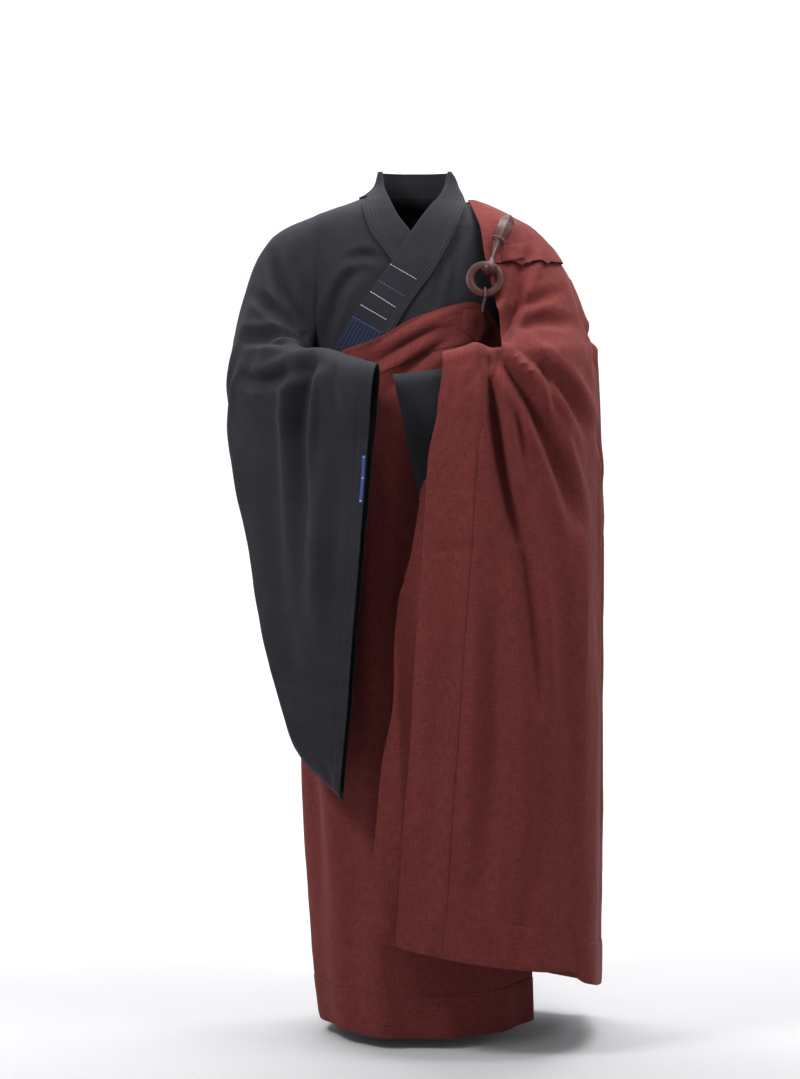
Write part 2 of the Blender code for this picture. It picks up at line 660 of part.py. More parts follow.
def armhole_heights(left):
    """Heights up the armhole, from the armpit to the shoulder's ridge."""
    name = "left" if left else "right"
    levels = np.linspace(1.16, 1.34, 400)
    half = column(BODY_SECTIONS, name, levels)
    top = levels[np.nonzero(half > ARMHOLE)[0][-1]]
    return 1.075 + (top - 1.075) * np.sin(np.linspace(0, np.pi / 2, ARMHOLE_ROWS))


def armhole_angle(height, left):
    """The front around angle where the under robe reaches the armhole's plane."""
    side = 1 if left else -1
    return body_angle(np.full_like(height, side * ARMHOLE), height)


def haiqing_body():
    front_panel("right", left=False)
    front_panel("left", left=True)
    back_panel()


def front_panel(name, left):
    """One front: from the centre's overlap to the side seam, with its neckline and armhole."""
    arm = armhole_heights(left)
    neck = [1.312, 1.326, 1.340] if left else [1.340]
    rows = np.concatenate([neck[::-1], arm[::-1], BODY_LOW_ROWS])
    side = np.where(rows >= 1.075 - 1e-6, armhole_angle(rows, left), 0.0 if left else 180.0)
    side = np.where(rows > arm[-1] + 1e-6, 0.0 if left else 180.0, side)
    band = OVER_BAND if left else UNDER_BAND
    table = np.array(band)[::-1]
    across = np.interp(rows, (table[:, 1] + table[:, 3]) / 2, (table[:, 0] + table[:, 2]) / 2)
    edge = body_angle(across, rows)
    overlap = 126.0 if left else 66.0
    lowest = table[0, 1]
    share = smooth(rows, lowest - 0.10, lowest)
    edge = overlap + (edge - overlap) * share
    columns = 9
    around = side[:, None] + (edge - side)[:, None] * np.linspace(0, 1, columns)
    around[rows < 1.07, 0] += 0.2 if left else -0.2
    height = np.repeat(rows[:, None], columns, 1)
    lift = -CLOTH + (OVERLAY if left else 0.0)
    black("haiqing_front_" + name, body_surface, around, height, lift=lift)


def back_panel():
    """The back in one width, from armhole to armhole."""
    right, left = armhole_heights(False), armhole_heights(True)
    shares = np.linspace(0, 1, 12)
    rows_right = np.concatenate([[1.340, 1.330], right[::-1], BODY_LOW_ROWS])
    rows_left = np.concatenate([[1.340, 1.316], left[::-1], BODY_LOW_ROWS])

    def side(rows, top, is_left):
        angle = armhole_angle(rows, is_left)
        angle = np.where((rows < 1.075 - 1e-6) | (rows > top + 1e-6), 0.0 if is_left else 180.0, angle)
        return 360 - angle

    a, b = side(rows_right, right[-1], False), side(rows_left, left[-1], True)
    around = a[:, None] + (b - a)[:, None] * shares
    low = rows_right < 1.07
    around[low, 0] += 0.2
    around[low, -1] -= 0.2
    height = rows_right[:, None] * (1 - shares) + rows_left[:, None] * shares
    black("haiqing_back", body_surface, around, height, lift=-CLOTH)


def band(name, rows, lift, end_lift, count):
    """A collar band that lies on the under robe's front."""
    table = np.array(rows)
    place = np.linspace(0, len(rows) - 1, count)
    knots = np.arange(len(rows), dtype=float)
    inner, inner_h, outer, outer_h = (through(knots, table[:, k], place) for k in range(4))
    start, end = body_angle(inner, inner_h), body_angle(outer, outer_h)
    shares = np.linspace(0, 1, 4)
    height = inner_h[:, None] * (1 - shares) + outer_h[:, None] * shares
    across = inner[:, None] * (1 - shares) + outer[:, None] * shares
    around = body_angle(across, height)
    around[:, 0], around[:, -1] = start, end
    rise = lift + (end_lift - lift) * smooth(place, 1, 3)
    lifts = np.repeat(rise[:, None], len(shares), 1)
    black(name, body_surface, around, height, lift=lifts, thick=COLLAR_WALL)


def collars():
    band("haiqing_collar_right", UNDER_BAND, 0.0018, 0.0018, 12)
    band("haiqing_collar_left", OVER_BAND, OVERLAY + 0.0018, OVERLAY + 0.0018, 18)
    shares = np.linspace(0, 1, 13)
    around, height = grid(190 + 160 * shares, [BACK_COLLAR_TOP, 1.362, BACK_COLLAR_LOW])
    black("haiqing_collar_back", body_surface, around, height, lift=0.0006, thick=COLLAR_WALL)


RING_POINTS = 2 * (ARMHOLE_ROWS - 1)


def sleeve_rings(rows, left):
    """Closed rings of points: the first is the body's armhole, the rest follow the table."""
    table = [dict(zip(SLEEVE_COLUMNS, row)) for row in rows]
    inner = np.array([[r["inner_x"], r["inner_y"], r["inner_h"]] for r in table])
    outer = np.array([[r["outer_x"], r["outer_y"], r["outer_h"]] for r in table])
    half = RING_POINTS // 2
    share = (1 - np.cos(np.pi * np.arange(half + 1) / half)) / 2
    side = 1 if left else -1
    rings = []
    for k, row in enumerate(table):
        before, after = max(k - 1, 0), min(k + 1, len(table) - 1)
        advance = (
            (inner[after] - inner[before])[None] * (1 - share[:, None])
            + (outer[after] - outer[before])[None] * share[:, None]
        )
        reach = outer[k] - inner[k]
        length = np.linalg.norm(reach)
        facing = np.cross(advance, reach) * side
        facing /= np.linalg.norm(facing, axis=1, keepdims=True)
        facing = facing + (max(0, 2.2 - 0.8 * k) + max(0, 1.3 * (k - 5))) * np.array([0, -1, 0])
        facing /= np.linalg.norm(facing, axis=1, keepdims=True)
        bulge = np.exp(-(((share - row["arm_place"]) * length / ARM_WIDTH) ** 2))
        thick = row["flat"] + (row["arm"] - row["flat"]) * bulge
        ends = np.minimum(share, 1 - share) * length / thick
        thick = thick * np.sqrt(1 - (1 - np.clip(ends, 0, 1)) ** 2)
        middle = inner[k] + reach * share[:, None]
        near = middle + facing * thick[:, None]
        far = middle - facing * thick[:, None]
        rings.append(np.concatenate([near, far[-2:0:-1]]))
    return np.array([armhole_ring(left)[0]] + rings)


def armhole_ring(left):
    """The armhole's edge on the under robe, from the armpit up the front and down the back."""
    level = armhole_heights(left)
    angle = armhole_angle(level, left)
    angle[0] = 0.0 if left else 180.0
    level = np.concatenate([level, level[-2:0:-1]])
    angle = np.concatenate([angle, 360 - angle[-2:0:-1]])
    points, normals = body_surface(angle, level), normal_of(body_surface, angle, level)
    lift = OVERLAY * (np.arange(len(level)) < ARMHOLE_ROWS) if left else np.zeros(len(level))
    points = points + normals * lift[:, None]
    points[:, 0] += (1 if left else -1) * 2 * SEAM
    return points, normals


def loft(rings, count):
    """Rings at even steps along smooth curves through the given rings."""
    places = np.linspace(0, len(rings) - 1, count)
    padded = np.concatenate([[2 * rings[0] - rings[1]], rings, [2 * rings[-1] - rings[-2]]])
    made = []
    for place in places:
        k = min(int(place), len(rings) - 2)
        t = place - k
        a, b, c, d = padded[k : k + 4]
        made.append(
            0.5
            * (2 * b + (c - a) * t + (2 * a - 5 * b + 4 * c - d) * t**2 + (3 * b - a - 3 * c + d) * t**3)
        )
    return np.array(made)


def ring_normals(points):
    around = np.roll(points, -1, 1) - np.roll(points, 1, 1)
    along = np.gradient(points, axis=0)
    normals = np.cross(around, along)
    normals /= np.linalg.norm(normals, axis=-1, keepdims=True)
    centre = points.mean(axis=1, keepdims=True)
    if ((points - centre) * normals).sum() < 0:
        normals = -normals
    return normals


def sleeve(name, rows, left, count, folds):
    points = loft(sleeve_rings(rows, left), count)
    normals = ring_normals(points)
    along = smooth(np.arange(count), 0, 3)[:, None]
    points = points - normals * (fold_depth(points, normals, folds) * along)[..., None]
    normals = ring_normals(points)
    normals[0] = armhole_ring(left)[1]
    wall(name, points, points - normals * CLOTH, "haiqing_cloth", BLACK_CLOTH, tube=True)


def tilted(points):
    """Points of the ring's own plane, leant back so that it lies on the slope of the chest."""
    c, s = math.cos(math.radians(RING_TILT)), math.sin(math.radians(RING_TILT))
    y = points[:, 1] * c + points[:, 2] * s
    z = points[:, 2] * c - points[:, 1] * s
    return np.stack([points[:, 0], y, z], 1)


def cord_loop(name, path, wide):
    """A closed loop of cord along a path of points, seen flat along wide."""
    path = np.array(path)
    count, sides = len(path), 6
    run = np.roll(path, -1, 0) - np.roll(path, 1, 0)
    run /= np.linalg.norm(run, axis=1, keepdims=True)
    wide = np.array(wide, float) / np.linalg.norm(wide)
    out = np.cross(run, wide)
    out /= np.linalg.norm(out, axis=1, keepdims=True)
    turn = 2 * np.pi * np.arange(sides) / sides
    points = (
        path[:, None]
        + LOOP_CORD * np.cos(turn)[None, :, None] * wide
        + LOOP_CORD * np.sin(turn)[None, :, None] * out[:, None]
    ).reshape(-1, 3)
    faces = []
    for i in range(count):
        for j in range(sides):
            a, b = i * sides + j, i * sides + (j + 1) % sides
            c, d = (a + sides) % (count * sides), (b + sides) % (count * sides)
            faces += [(a, b, d), (a, d, c)]
    add_mesh(name, points, faces, "clasp_cord", DARK_CORD)


def loops():
    """The cord loop from the ring to its tab, and the one that ties the hook to its own."""
    middle = (RING_OUTER + RING_HOLE) / 4
    bar = np.array(RING_CENTRE) + tilted(np.array([[0, 0, -middle]]))[0]
    towards = np.array(RING_LOOP_TOWARDS)
    towards /= np.linalg.norm(towards)
    across = np.cross([1, 0, 0], towards)
    across /= np.linalg.norm(across)
    turns = np.radians(np.linspace(-115, 115, 15))
    round_bar = [
        bar
        + RING_LOOP_SLACK * towards
        + RING_LOOP_RADIUS * (-math.cos(t) * towards + math.sin(t) * across)
        for t in turns
    ]
    far = [
        bar + RING_LOOP_REACH * towards + 0.0026 * across,
        bar + (RING_LOOP_REACH + 0.0012) * towards,
        bar + RING_LOOP_REACH * towards - 0.0026 * across,
    ]
    cord_loop("clasp_ring_loop", round_bar + far, (1, 0, 0))
    run = np.array([0.42, 0.60, 0.80])
    run /= np.linalg.norm(run)
    wide = np.cross(run, [0, -1, 0])
    wide /= np.linalg.norm(wide)
    deep = np.cross(wide, run)
    path = []
    for t in np.radians(np.arange(0, 360, 20)):
        depth = HOOK_LOOP["front"] if math.sin(t) > 0 else HOOK_LOOP["back"]
        path.append(
            np.array(HOOK_LOOP["centre"])
            + wide * HOOK_LOOP["half_width"] * math.cos(t)
            + deep * depth * math.sin(t)
        )
    cord_loop("clasp_hook_loop", path, run)


def turned_ring():
    """The flat wooden ring, turned with rounded edges."""
    middle = (RING_OUTER + RING_HOLE) / 4
    half = (RING_OUTER - RING_HOLE) / 4
    points, faces = [], []
    around, profile = 32, 12
    for i in range(around):
        turn = 2 * math.pi * i / around
        for j in range(profile):
            tilt = 2 * math.pi * j / profile
            c, s = math.cos(tilt), math.sin(tilt)
            out = middle + half * math.copysign(abs(c) ** 0.6, c)
            rise = RING_THICK / 2 * math.copysign(abs(s) ** 0.6, s)
            points.append((out * math.cos(turn), rise, out * math.sin(turn)))
            a, b = i * profile + j, i * profile + (j + 1) % profile
            c, d = (a + profile) % (around * profile), (b + profile) % (around * profile)
            faces += [(a, b, d), (a, d, c)]
    points = tilted(np.array(points)) + np.array(RING_CENTRE)
    add_mesh("clasp_ring", points, faces, "clasp_wood", DARK_WOOD)


def hook():
    """The hook: a knob, a thin neck and a paddle with a ridge down its middle."""
    rows = [dict(zip(HOOK_SECTIONS["columns"], row)) for row in HOOK_SECTIONS["rows"]]
    line = np.array([[r["across"], r["depth"], r["height"]] for r in rows])
    run = np.gradient(line, axis=0)
    run /= np.linalg.norm(run, axis=1, keepdims=True)
    wide = np.cross(run, [0, -1, 0])
    wide /= np.linalg.norm(wide, axis=1, keepdims=True)
    deep = np.cross(wide, run)
    sides = 8
    rings = []
    for p, w, d, r in zip(line, wide, deep, rows):
        turn = 2 * np.pi * np.arange(sides) / sides
        rings.append(
            p
            + w * (r["half_width"] * np.cos(turn))[:, None]
            + d * (r["half_thick"] * np.sin(turn))[:, None]
        )
    points = np.concatenate(rings)
    faces = []
    for i in range(len(rows) - 1):
        for j in range(sides):
            a, b = i * sides + j, i * sides + (j + 1) % sides
            faces += [(a, b, b + sides), (a, b + sides, a + sides)]
    last = (len(rows) - 1) * sides
    for j in range(1, sides - 1):
        faces += [(0, j + 1, j), (last, last + j, last + j + 1)]
    paddle = add_mesh("clasp_hook", points, faces, "clasp_wood", DARK_WOOD)
    bpy.ops.mesh.primitive_uv_sphere_add(
        segments=16, ring_count=10, radius=KNOB_RADIUS,
        location=Vector(KNOB_CENTRE) - Vector((0, 0, SHOULDER_HEIGHT)),
    )
    knob = bpy.context.object
    knob.name = "hook_knob_form"
    knob.hide_render = True
    knob.display_type = "WIRE"
    join = paddle.modifiers.new("knob", "BOOLEAN")
    join.operation = "UNION"
    join.object = knob


def patch_on(name, carriers, outline, facing, lift, thick, look_name, look, cells=6):
    """A small patch laid on the pieces beneath it: a four-sided outline cast along facing."""
    corners = np.array(outline, float)
    u = np.linspace(0, 1, cells + 1)
    flat = np.array(
        [
            [
                (1 - a) * (1 - b) * corners[0] + a * (1 - b) * corners[1]
                + a * b * corners[2] + (1 - a) * b * corners[3]
                for a in u
            ]
            for b in u
        ]
    )
    facing = Vector(facing).normalized()
    trees = []
    for part in carriers:
        mesh = bpy.data.objects[part].data
        points = [v.co + Vector((0, 0, SHOULDER_HEIGHT)) for v in mesh.vertices]
        trees.append(BVHTree.FromPolygons(points, [tuple(p.vertices) for p in mesh.polygons]))
    seat = np.zeros_like(flat)
    normals = np.zeros_like(flat)
    for i in range(cells + 1):
        for j in range(cells + 1):
            start = Vector(flat[i, j]) - facing * 0.5
            hits = [tree.ray_cast(start, facing) for tree in trees]
            hits = [h for h in hits if h[0] is not None]
            place, normal = min(hits, key=lambda h: h[3])[:2]
            seat[i, j] = place
            normals[i, j] = normal if normal.dot(facing) < 0 else -normal
    even = normals.mean(axis=(0, 1))
    normals = 0.5 * normals + 0.5 * even / np.linalg.norm(even)
    normals /= np.linalg.norm(normals, axis=-1, keepdims=True)
    return wall(
        name, seat + normals * (lift + thick), seat + normals * lift, look_name, look
    )


bpy.ops.object.select_all(action="DESELECT")
for old in list(bpy.data.objects):
    bpy.data.objects.remove(old, do_unlink=True)
collection = bpy.data.collections.new("monk_robe")
bpy.context.scene.collection.children.link(collection)

haiqing_body()
collars()
sleeve("haiqing_sleeve_right", RIGHT_SLEEVE, False, 22, SLEEVE_FOLDS)
sleeve("haiqing_sleeve_left", LEFT_SLEEVE, True, 16, [])
kasaya_pieces()
turned_ring()
hook()
loops()
patch_on(
    "kasaya_ring_tab", ["kasaya_top_border_front"], RING_TAB, (0, 1, 0), 0.0008, 0.003,
    "kasaya_cloth", RUSSET_CLOTH,
)
patch_on(
    "kasaya_hook_tab", ["kasaya_shoulder_flap"], HOOK_TAB, (0, 1, 0), 0.0008, 0.003,
    "kasaya_cloth", RUSSET_CLOTH,
)
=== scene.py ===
"""The looks of the monk's robe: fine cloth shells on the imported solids, their sewing, the clasp
and the photo's view.

Metres in the row frame, +Z up, the wearer faces -Y. The tables give heights above the floor that
the wearer stands on; SHOULDER_HEIGHT takes them to the frame's origin between the shoulders.
"around" is an angle in degrees seen from above: 0 or 360 at the wearer's left (+X), 90 at the
front, 180 at the wearer's right, 270 behind. The kasaya winds on past 360 to 450, the front again.
"""

import math

import bpy
import numpy as np
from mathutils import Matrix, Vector
from mathutils.bvhtree import BVHTree


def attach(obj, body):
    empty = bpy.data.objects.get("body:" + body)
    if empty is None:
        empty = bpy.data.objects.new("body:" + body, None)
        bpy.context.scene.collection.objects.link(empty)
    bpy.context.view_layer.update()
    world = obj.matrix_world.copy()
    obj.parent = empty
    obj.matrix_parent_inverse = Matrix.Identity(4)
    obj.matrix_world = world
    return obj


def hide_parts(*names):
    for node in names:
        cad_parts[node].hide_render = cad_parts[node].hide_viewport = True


# Driving sizes, as in the solids
SHOULDER_HEIGHT = 1.31
CLOTH = 0.002
OVERLAY = 0.0055
BORDER = 0.070
COLLAR_WALL = 0.0025
BODY_POWER = 2.2
WRAP_POWER = 2.15
MANTLE_POWER = 2.3

# The shells: how thick the cloth looks, and how far a sewn-on strip stands off its panel
SHELL = 0.0014
STRIP_LIFT = 0.0003
STRIP_SHELL = 0.0012
STRIP_EDGE, STRIP_EDGE_STEPS = 0.55, 0.7

# Stitches: their length, the gap between them, and the thread's width
STITCHING = {
    "border": (0.0030, 0.0017, 0.0006),
    "collar": (0.0026, 0.0012, 0.0005),
    "cross_line": (0.0042, 0.0006, 0.0010),
    "cuff": (0.0028, 0.0015, 0.0005),
    "tack": (0.0046, 0.0002, 0.0013),
    "tab": (0.0024, 0.0012, 0.0006),
}
STITCH_RINGS, STITCH_SIDES = 3, 6
STITCH_THINNING = 0.9

# Fine creases: their depth, their size along each axis, and a seed
KASAYA_CREASES = [
    (0.0020, (0.040, 0.040, 0.170), 3),
    (0.0007, (0.020, 0.020, 0.060), 5),
    (0.0003, (0.009, 0.009, 0.012), 7),
]
SLEEVE_CREASES = [
    (0.0030, (0.055, 0.055, 0.110), 11),
    (0.0012, (0.024, 0.024, 0.045), 13),
    (0.0003, (0.010, 0.010, 0.016), 15),
]
BODY_CREASES = [(0.0012, (0.030, 0.030, 0.060), 19)]
FLAP_CREASES = ((0.030, 0.030, 0.200), 17)

# Grid steps across and down for each kind of piece
UPPER_ROWS, LOWER_ROWS, HEM_ROWS = 56, 86, 14
WRAP_COLUMNS, BACK_COLUMNS, MANTLE_COLUMNS, INNER_COLUMNS = 144, 106, 114, 110
FALL_COLUMNS, FALL_BORDER_COLUMNS = 90, 24
ROLL_STEPS = 16
BODY_COLUMNS, BACK_PANEL_COLUMNS = 60, 90
NECK_ROWS, BACK_NECK_ROWS = 14, 10
RIGHT_SLEEVE_ROWS, LEFT_SLEEVE_ROWS = 176, 90
BODY_LOW_ROWS = np.append(1.0745, np.linspace(1.06, 0.06, 45))
COLLAR_BACK_COLUMNS, COLLAR_BACK_ROWS = 130, 30
GUARD_ROWS = 60
RIBBON_ROWS, RIBBON_COLUMNS = 26, 5
HOOK_RINGS, WOOD_TURN = 90, 10
TAB_STEPS, TAB_SEWN = 41, 3
CORD_SIDES, CORD_STEPS = 14, 12

# How far the inner fall's folds stand off, and the shoulder flap's free edge
INNER_STANDS_OFF = 0.004
FLAP_LIFT, FLAP_WAVE = 0.0040, 0.0035

# Under robe body, its outer face. Right and left are the wearer's half widths.
BODY_SECTIONS = {
    "columns": ("height", "right", "left", "front", "back"),
    "rows": [
        (0.060, 0.132, 0.135, 0.118, 0.120),
        (0.450, 0.155, 0.155, 0.125, 0.126),
        (0.750, 0.163, 0.160, 0.127, 0.130),
        (1.000, 0.157, 0.150, 0.121, 0.118),
        (1.075, 0.160, 0.158, 0.121, 0.121),
        (1.150, 0.180, 0.176, 0.120, 0.124),
        (1.230, 0.187, 0.178, 0.113, 0.114),
        (1.275, 0.186, 0.168, 0.103, 0.101),
        (1.292, 0.183, 0.157, 0.097, 0.093),
        (1.305, 0.174, 0.134, 0.091, 0.086),
        (1.318, 0.154, 0.104, 0.084, 0.078),
        (1.330, 0.116, 0.080, 0.076, 0.068),
        (1.345, 0.079, 0.067, 0.066, 0.060),
        (1.362, 0.062, 0.059, 0.054, 0.056),
        (1.384, 0.056, 0.055, 0.042, 0.052),
    ],
}

# Kasaya wrap, its inner face, from the hem to the top border behind the neck.
WRAP_SECTIONS = {
    "columns": ("height", "right", "left", "front", "back"),
    "rows": [
        (0.020, 0.147, 0.190, 0.150, 0.150),
        (0.100, 0.157, 0.188, 0.152, 0.153),
        (0.260, 0.168, 0.182, 0.156, 0.158),
        (0.440, 0.178, 0.176, 0.158, 0.160),
        (0.600, 0.182, 0.170, 0.156, 0.157),
        (0.800, 0.183, 0.166, 0.146, 0.148),
        (0.980, 0.178, 0.163, 0.138, 0.134),
        (1.075, 0.180, 0.172, 0.136, 0.137),
        (1.150, 0.198, 0.189, 0.135, 0.139),
        (1.230, 0.205, 0.192, 0.128, 0.129),
        (1.275, 0.203, 0.182, 0.118, 0.115),
        (1.305, 0.190, 0.150, 0.106, 0.100),
        (1.320, 0.160, 0.116, 0.098, 0.090),
        (1.340, 0.100, 0.084, 0.080, 0.074),
    ],
}

# Kasaya mantle over the left shoulder and arm, its inner face. Outer is the half width towards
# the arm, spread the half width of the flat front towards the free edge.
MANTLE_SECTIONS = {
    "columns": ("height", "centre", "outer", "spread", "front", "back"),
    "rows": [
        (0.070, 0.130, 0.169, 0.46, 0.228, 0.160),
        (0.400, 0.130, 0.169, 0.46, 0.233, 0.160),
        (0.600, 0.130, 0.169, 0.46, 0.237, 0.158),
        (0.800, 0.130, 0.167, 0.46, 0.240, 0.156),
        (1.010, 0.130, 0.162, 0.46, 0.240, 0.150),
        (1.060, 0.131, 0.158, 0.42, 0.236, 0.147),
        (1.100, 0.132, 0.153, 0.36, 0.222, 0.144),
        (1.125, 0.132, 0.145, 0.28, 0.184, 0.141),
        (1.150, 0.130, 0.139, 0.20, 0.158, 0.138),
        (1.200, 0.119, 0.132, 0.16, 0.134, 0.130),
        (1.250, 0.108, 0.113, 0.12, 0.115, 0.115),
        (1.290, 0.102, 0.084, 0.10, 0.096, 0.094),
        (1.318, 0.092, 0.045, 0.07, 0.062, 0.062),
        (1.336, 0.084, 0.012, 0.03, 0.026, 0.026),
    ],
}
MANTLE_BACK_OF_CENTRE = -0.008
MANTLE_TAKES_OVER = (252, 335)

# The kasaya's top border and hem along its length
BORDER_LINES = {
    "columns": ("around", "top", "split", "hem"),
    "rows": [
        (14, 1.020, 0.940, 0.022),
        (40, 1.100, 0.980, 0.020),
        (52, 1.155, 1.010, 0.019),
        (64, 1.176, 1.020, 0.018),
        (86, 1.158, 1.010, 0.017),
        (106, 1.121, 0.990, 0.018),
        (130, 1.096, 0.980, 0.020),
        (155, 1.058, 0.960, 0.022),
        (180, 1.046, 0.950, 0.024),
        (215, 1.074, 0.970, 0.030),
        (240, 1.145, 1.020, 0.036),
        (262, 1.245, 1.060, 0.044),
        (286, 1.334, 1.100, 0.054),
        (315, 1.336, 1.100, 0.066),
        (360, 1.336, 1.100, 0.080),
        (398, 1.336, 1.100, 0.108),
        (412, 1.336, 1.100, 0.134),
        (450, 1.336, 1.100, 0.150),
        (480, 1.336, 1.078, 0.180),
    ],
}
WRAP_START, WRAP_RIGHT, WRAP_BACK_END = 14, 178, 286
FRONT_AGAIN = 450
SIDE_END, VALLEY = 404, FRONT_AGAIN
FALL_MIDDLE, FREE_END = 462.0, 480.0
FLAP_START = 325
FOLD_LAP, FOLD_LAP_HEIGHTS, FOLD_LAP_AROUND = 0.011, (0.86, 0.79), (424, SIDE_END + 0.5)
INNER_BEGIN, INNER_BEGIN_HEIGHTS, INNER_DEPTH, INNER_DEEP_AT = 0.014, (0.80, 0.87), 0.027, 436
INNER_TOP, INNER_LOW, INNER_TUCK, INNER_TUCK_HEIGHT = 0.95, 0.182, 0.030, 0.075
ROLL_LEAST, ROLL_MORE = 0.004, 0.014
BARE_COLUMNS = 6

# The kasaya's soft upright waves, how many in a whole turn, and the heights where they set in
FLUTE_DEPTH, FLUTE_HEIGHTS = 0.006, (0.9, 0.1)
FLUTE_WAVES, FLUTE_GROUPS, FLUTE_SHIFT = 9, 2.3, 40
CREASES_SET_IN = (1.28, 1.10)

# Free edges, their place across the front at each height
FREE_EDGES = {
    "columns": ("height", "fall", "inner"),
    "rows": [
        (0.180, -0.0291, -0.0823),
        (0.240, -0.0245, -0.0755),
        (0.367, -0.0169, -0.0620),
        (0.489, -0.0077, -0.0470),
        (0.661, 0.0030, -0.0265),
        (0.808, 0.0123, -0.0090),
        (0.946, 0.0199, 0.0110),
        (1.018, 0.0337, 0.0160),
        (1.100, 0.0500, 0.0200),
    ],
}

# Folds. A fold runs from its start through a bend to its end, in the plane that is seen from
# its side: across and height. A negative depth is a ridge.
FOLD_COLUMNS = ("side", "start", "start_h", "bend", "bend_h", "end", "end_h", "width", "depth")
MANTLE_FOLDS = [
    ("front", 0.131, 1.112, 0.153, 1.172, 0.168, 1.240, 0.009, 0.013),
    ("front", 0.134, 1.120, 0.152, 1.160, 0.226, 1.192, 0.008, 0.011),
    ("front", 0.140, 1.126, 0.188, 1.146, 0.244, 1.138, 0.009, 0.011),
    ("front", 0.146, 1.112, 0.222, 1.055, 0.272, 0.972, 0.010, 0.017),
    ("front", 0.112, 1.100, 0.186, 1.005, 0.247, 0.839, 0.011, 0.024),
    ("front", 0.200, 1.085, 0.212, 1.022, 0.223, 0.955, 0.008, 0.008),
    ("front", 0.235, 1.060, 0.268, 1.010, 0.286, 0.960, 0.010, -0.008),
    ("front", 0.146, 1.020, 0.158, 0.985, 0.160, 0.930, 0.007, 0.005),
    ("front", 0.150, 0.880, 0.172, 0.740, 0.190, 0.560, 0.012, 0.014),
    ("front", 0.190, 0.600, 0.196, 0.420, 0.186, 0.230, 0.016, 0.006),
    ("front", 0.222, 0.820, 0.232, 0.600, 0.224, 0.330, 0.014, 0.006),
    ("front", 0.160, 0.640, 0.166, 0.450, 0.155, 0.200, 0.018, -0.006),
    ("front", 0.190, 1.262, 0.192, 1.235, 0.186, 1.205, 0.006, -0.005),
    ("left", 0.020, 1.230, 0.030, 1.000, 0.020, 0.150, 0.015, 0.012),
    ("left", -0.060, 1.180, -0.070, 0.900, -0.065, 0.300, 0.014, 0.010),
    ("left", 0.090, 1.150, 0.100, 0.800, 0.095, 0.120, 0.016, 0.011),
    ("left", -0.110, 1.070, -0.040, 1.120, 0.040, 1.100, 0.010, 0.008),
    ("left", -0.130, 0.980, -0.060, 0.900, 0.010, 0.700, 0.012, 0.007),
    ("back", 0.190, 1.230, 0.200, 0.900, 0.205, 0.100, 0.015, 0.013),
    ("back", 0.110, 1.260, 0.130, 0.900, 0.125, 0.100, 0.015, 0.011),
    ("back", 0.155, 1.210, 0.165, 0.950, 0.160, 0.600, 0.010, -0.006),
]
FALL_FOLDS = [
    ("front", 0.110, 1.098, 0.124, 0.975, 0.152, 0.820, 0.010, 0.030),
    ("front", 0.018, 0.808, 0.058, 0.797, 0.100, 0.802, 0.005, 0.004),
    ("front", 0.085, 0.960, 0.090, 0.700, 0.080, 0.300, 0.018, -0.007),
    ("front", 0.028, 0.640, 0.030, 0.450, 0.018, 0.240, 0.012, 0.004),
    ("front", 0.118, 0.700, 0.113, 0.460, 0.104, 0.240, 0.014, 0.006),
    ("front", 0.056, 1.090, 0.062, 1.060, 0.060, 1.020, 0.006, 0.003),
]
WRAP_FOLDS = [
    ("front", -0.110, 0.900, -0.100, 0.600, -0.085, 0.060, 0.018, 0.010),
    ("front", -0.060, 0.700, -0.058, 0.450, -0.060, 0.240, 0.018, 0.006),
    ("front", -0.020, 0.950, -0.012, 0.700, 0.000, 0.400, 0.014, 0.006),
    ("front", 0.064, 1.160, -0.010, 1.142, -0.085, 1.084, 0.008, 0.005),
    ("front", 0.066, 1.144, -0.010, 1.112, -0.110, 1.050, 0.009, 0.006),
    ("front", 0.068, 1.130, 0.020, 1.096, -0.040, 1.040, 0.009, 0.006),
    ("front", 0.070, 1.172, 0.040, 1.166, 0.000, 1.150, 0.005, 0.003),
    ("front", 0.124, 1.140, 0.110, 1.100, 0.080, 1.040, 0.008, 0.005),
    ("right", 0.010, 0.950, 0.020, 0.600, 0.010, 0.060, 0.018, 0.010),
    ("right", -0.070, 1.010, -0.060, 0.700, -0.080, 0.200, 0.016, 0.007),
    ("right", 0.080, 1.000, 0.070, 0.700, 0.085, 0.150, 0.016, 0.008),
    ("back", -0.120, 1.060, -0.090, 0.700, -0.100, 0.070, 0.018, 0.011),
    ("back", -0.060, 1.130, 0.000, 0.800, -0.030, 0.080, 0.017, 0.010),
    ("back", -0.100, 1.100, 0.000, 1.190, 0.070, 1.300, 0.011, 0.008),
    ("back", -0.090, 1.040, 0.010, 1.110, 0.100, 1.240, 0.012, 0.008),
    ("back", -0.130, 1.000, -0.040, 1.030, 0.060, 1.130, 0.010, 0.006),
    ("back", 0.040, 1.150, 0.050, 0.700, 0.040, 0.090, 0.018, 0.011),
]
INNER_FOLDS = [
    ("front", 0.060, 0.900, 0.030, 0.500, -0.010, 0.200, 0.014, 0.004),
]
BODY_FOLDS = [
    ("front", -0.058, 1.244, -0.080, 1.249, -0.108, 1.240, 0.007, 0.006),
    ("front", -0.087, 1.226, -0.119, 1.191, -0.148, 1.112, 0.008, 0.009),
    ("front", -0.110, 1.180, -0.128, 1.150, -0.140, 1.100, 0.006, 0.004),
    ("front", 0.072, 1.285, 0.060, 1.230, 0.070, 1.180, 0.007, 0.004),
    ("front", 0.056, 1.262, 0.040, 1.215, 0.030, 1.170, 0.006, 0.003),
    ("back", -0.120, 1.290, -0.130, 1.220, -0.125, 1.120, 0.010, 0.006),
]
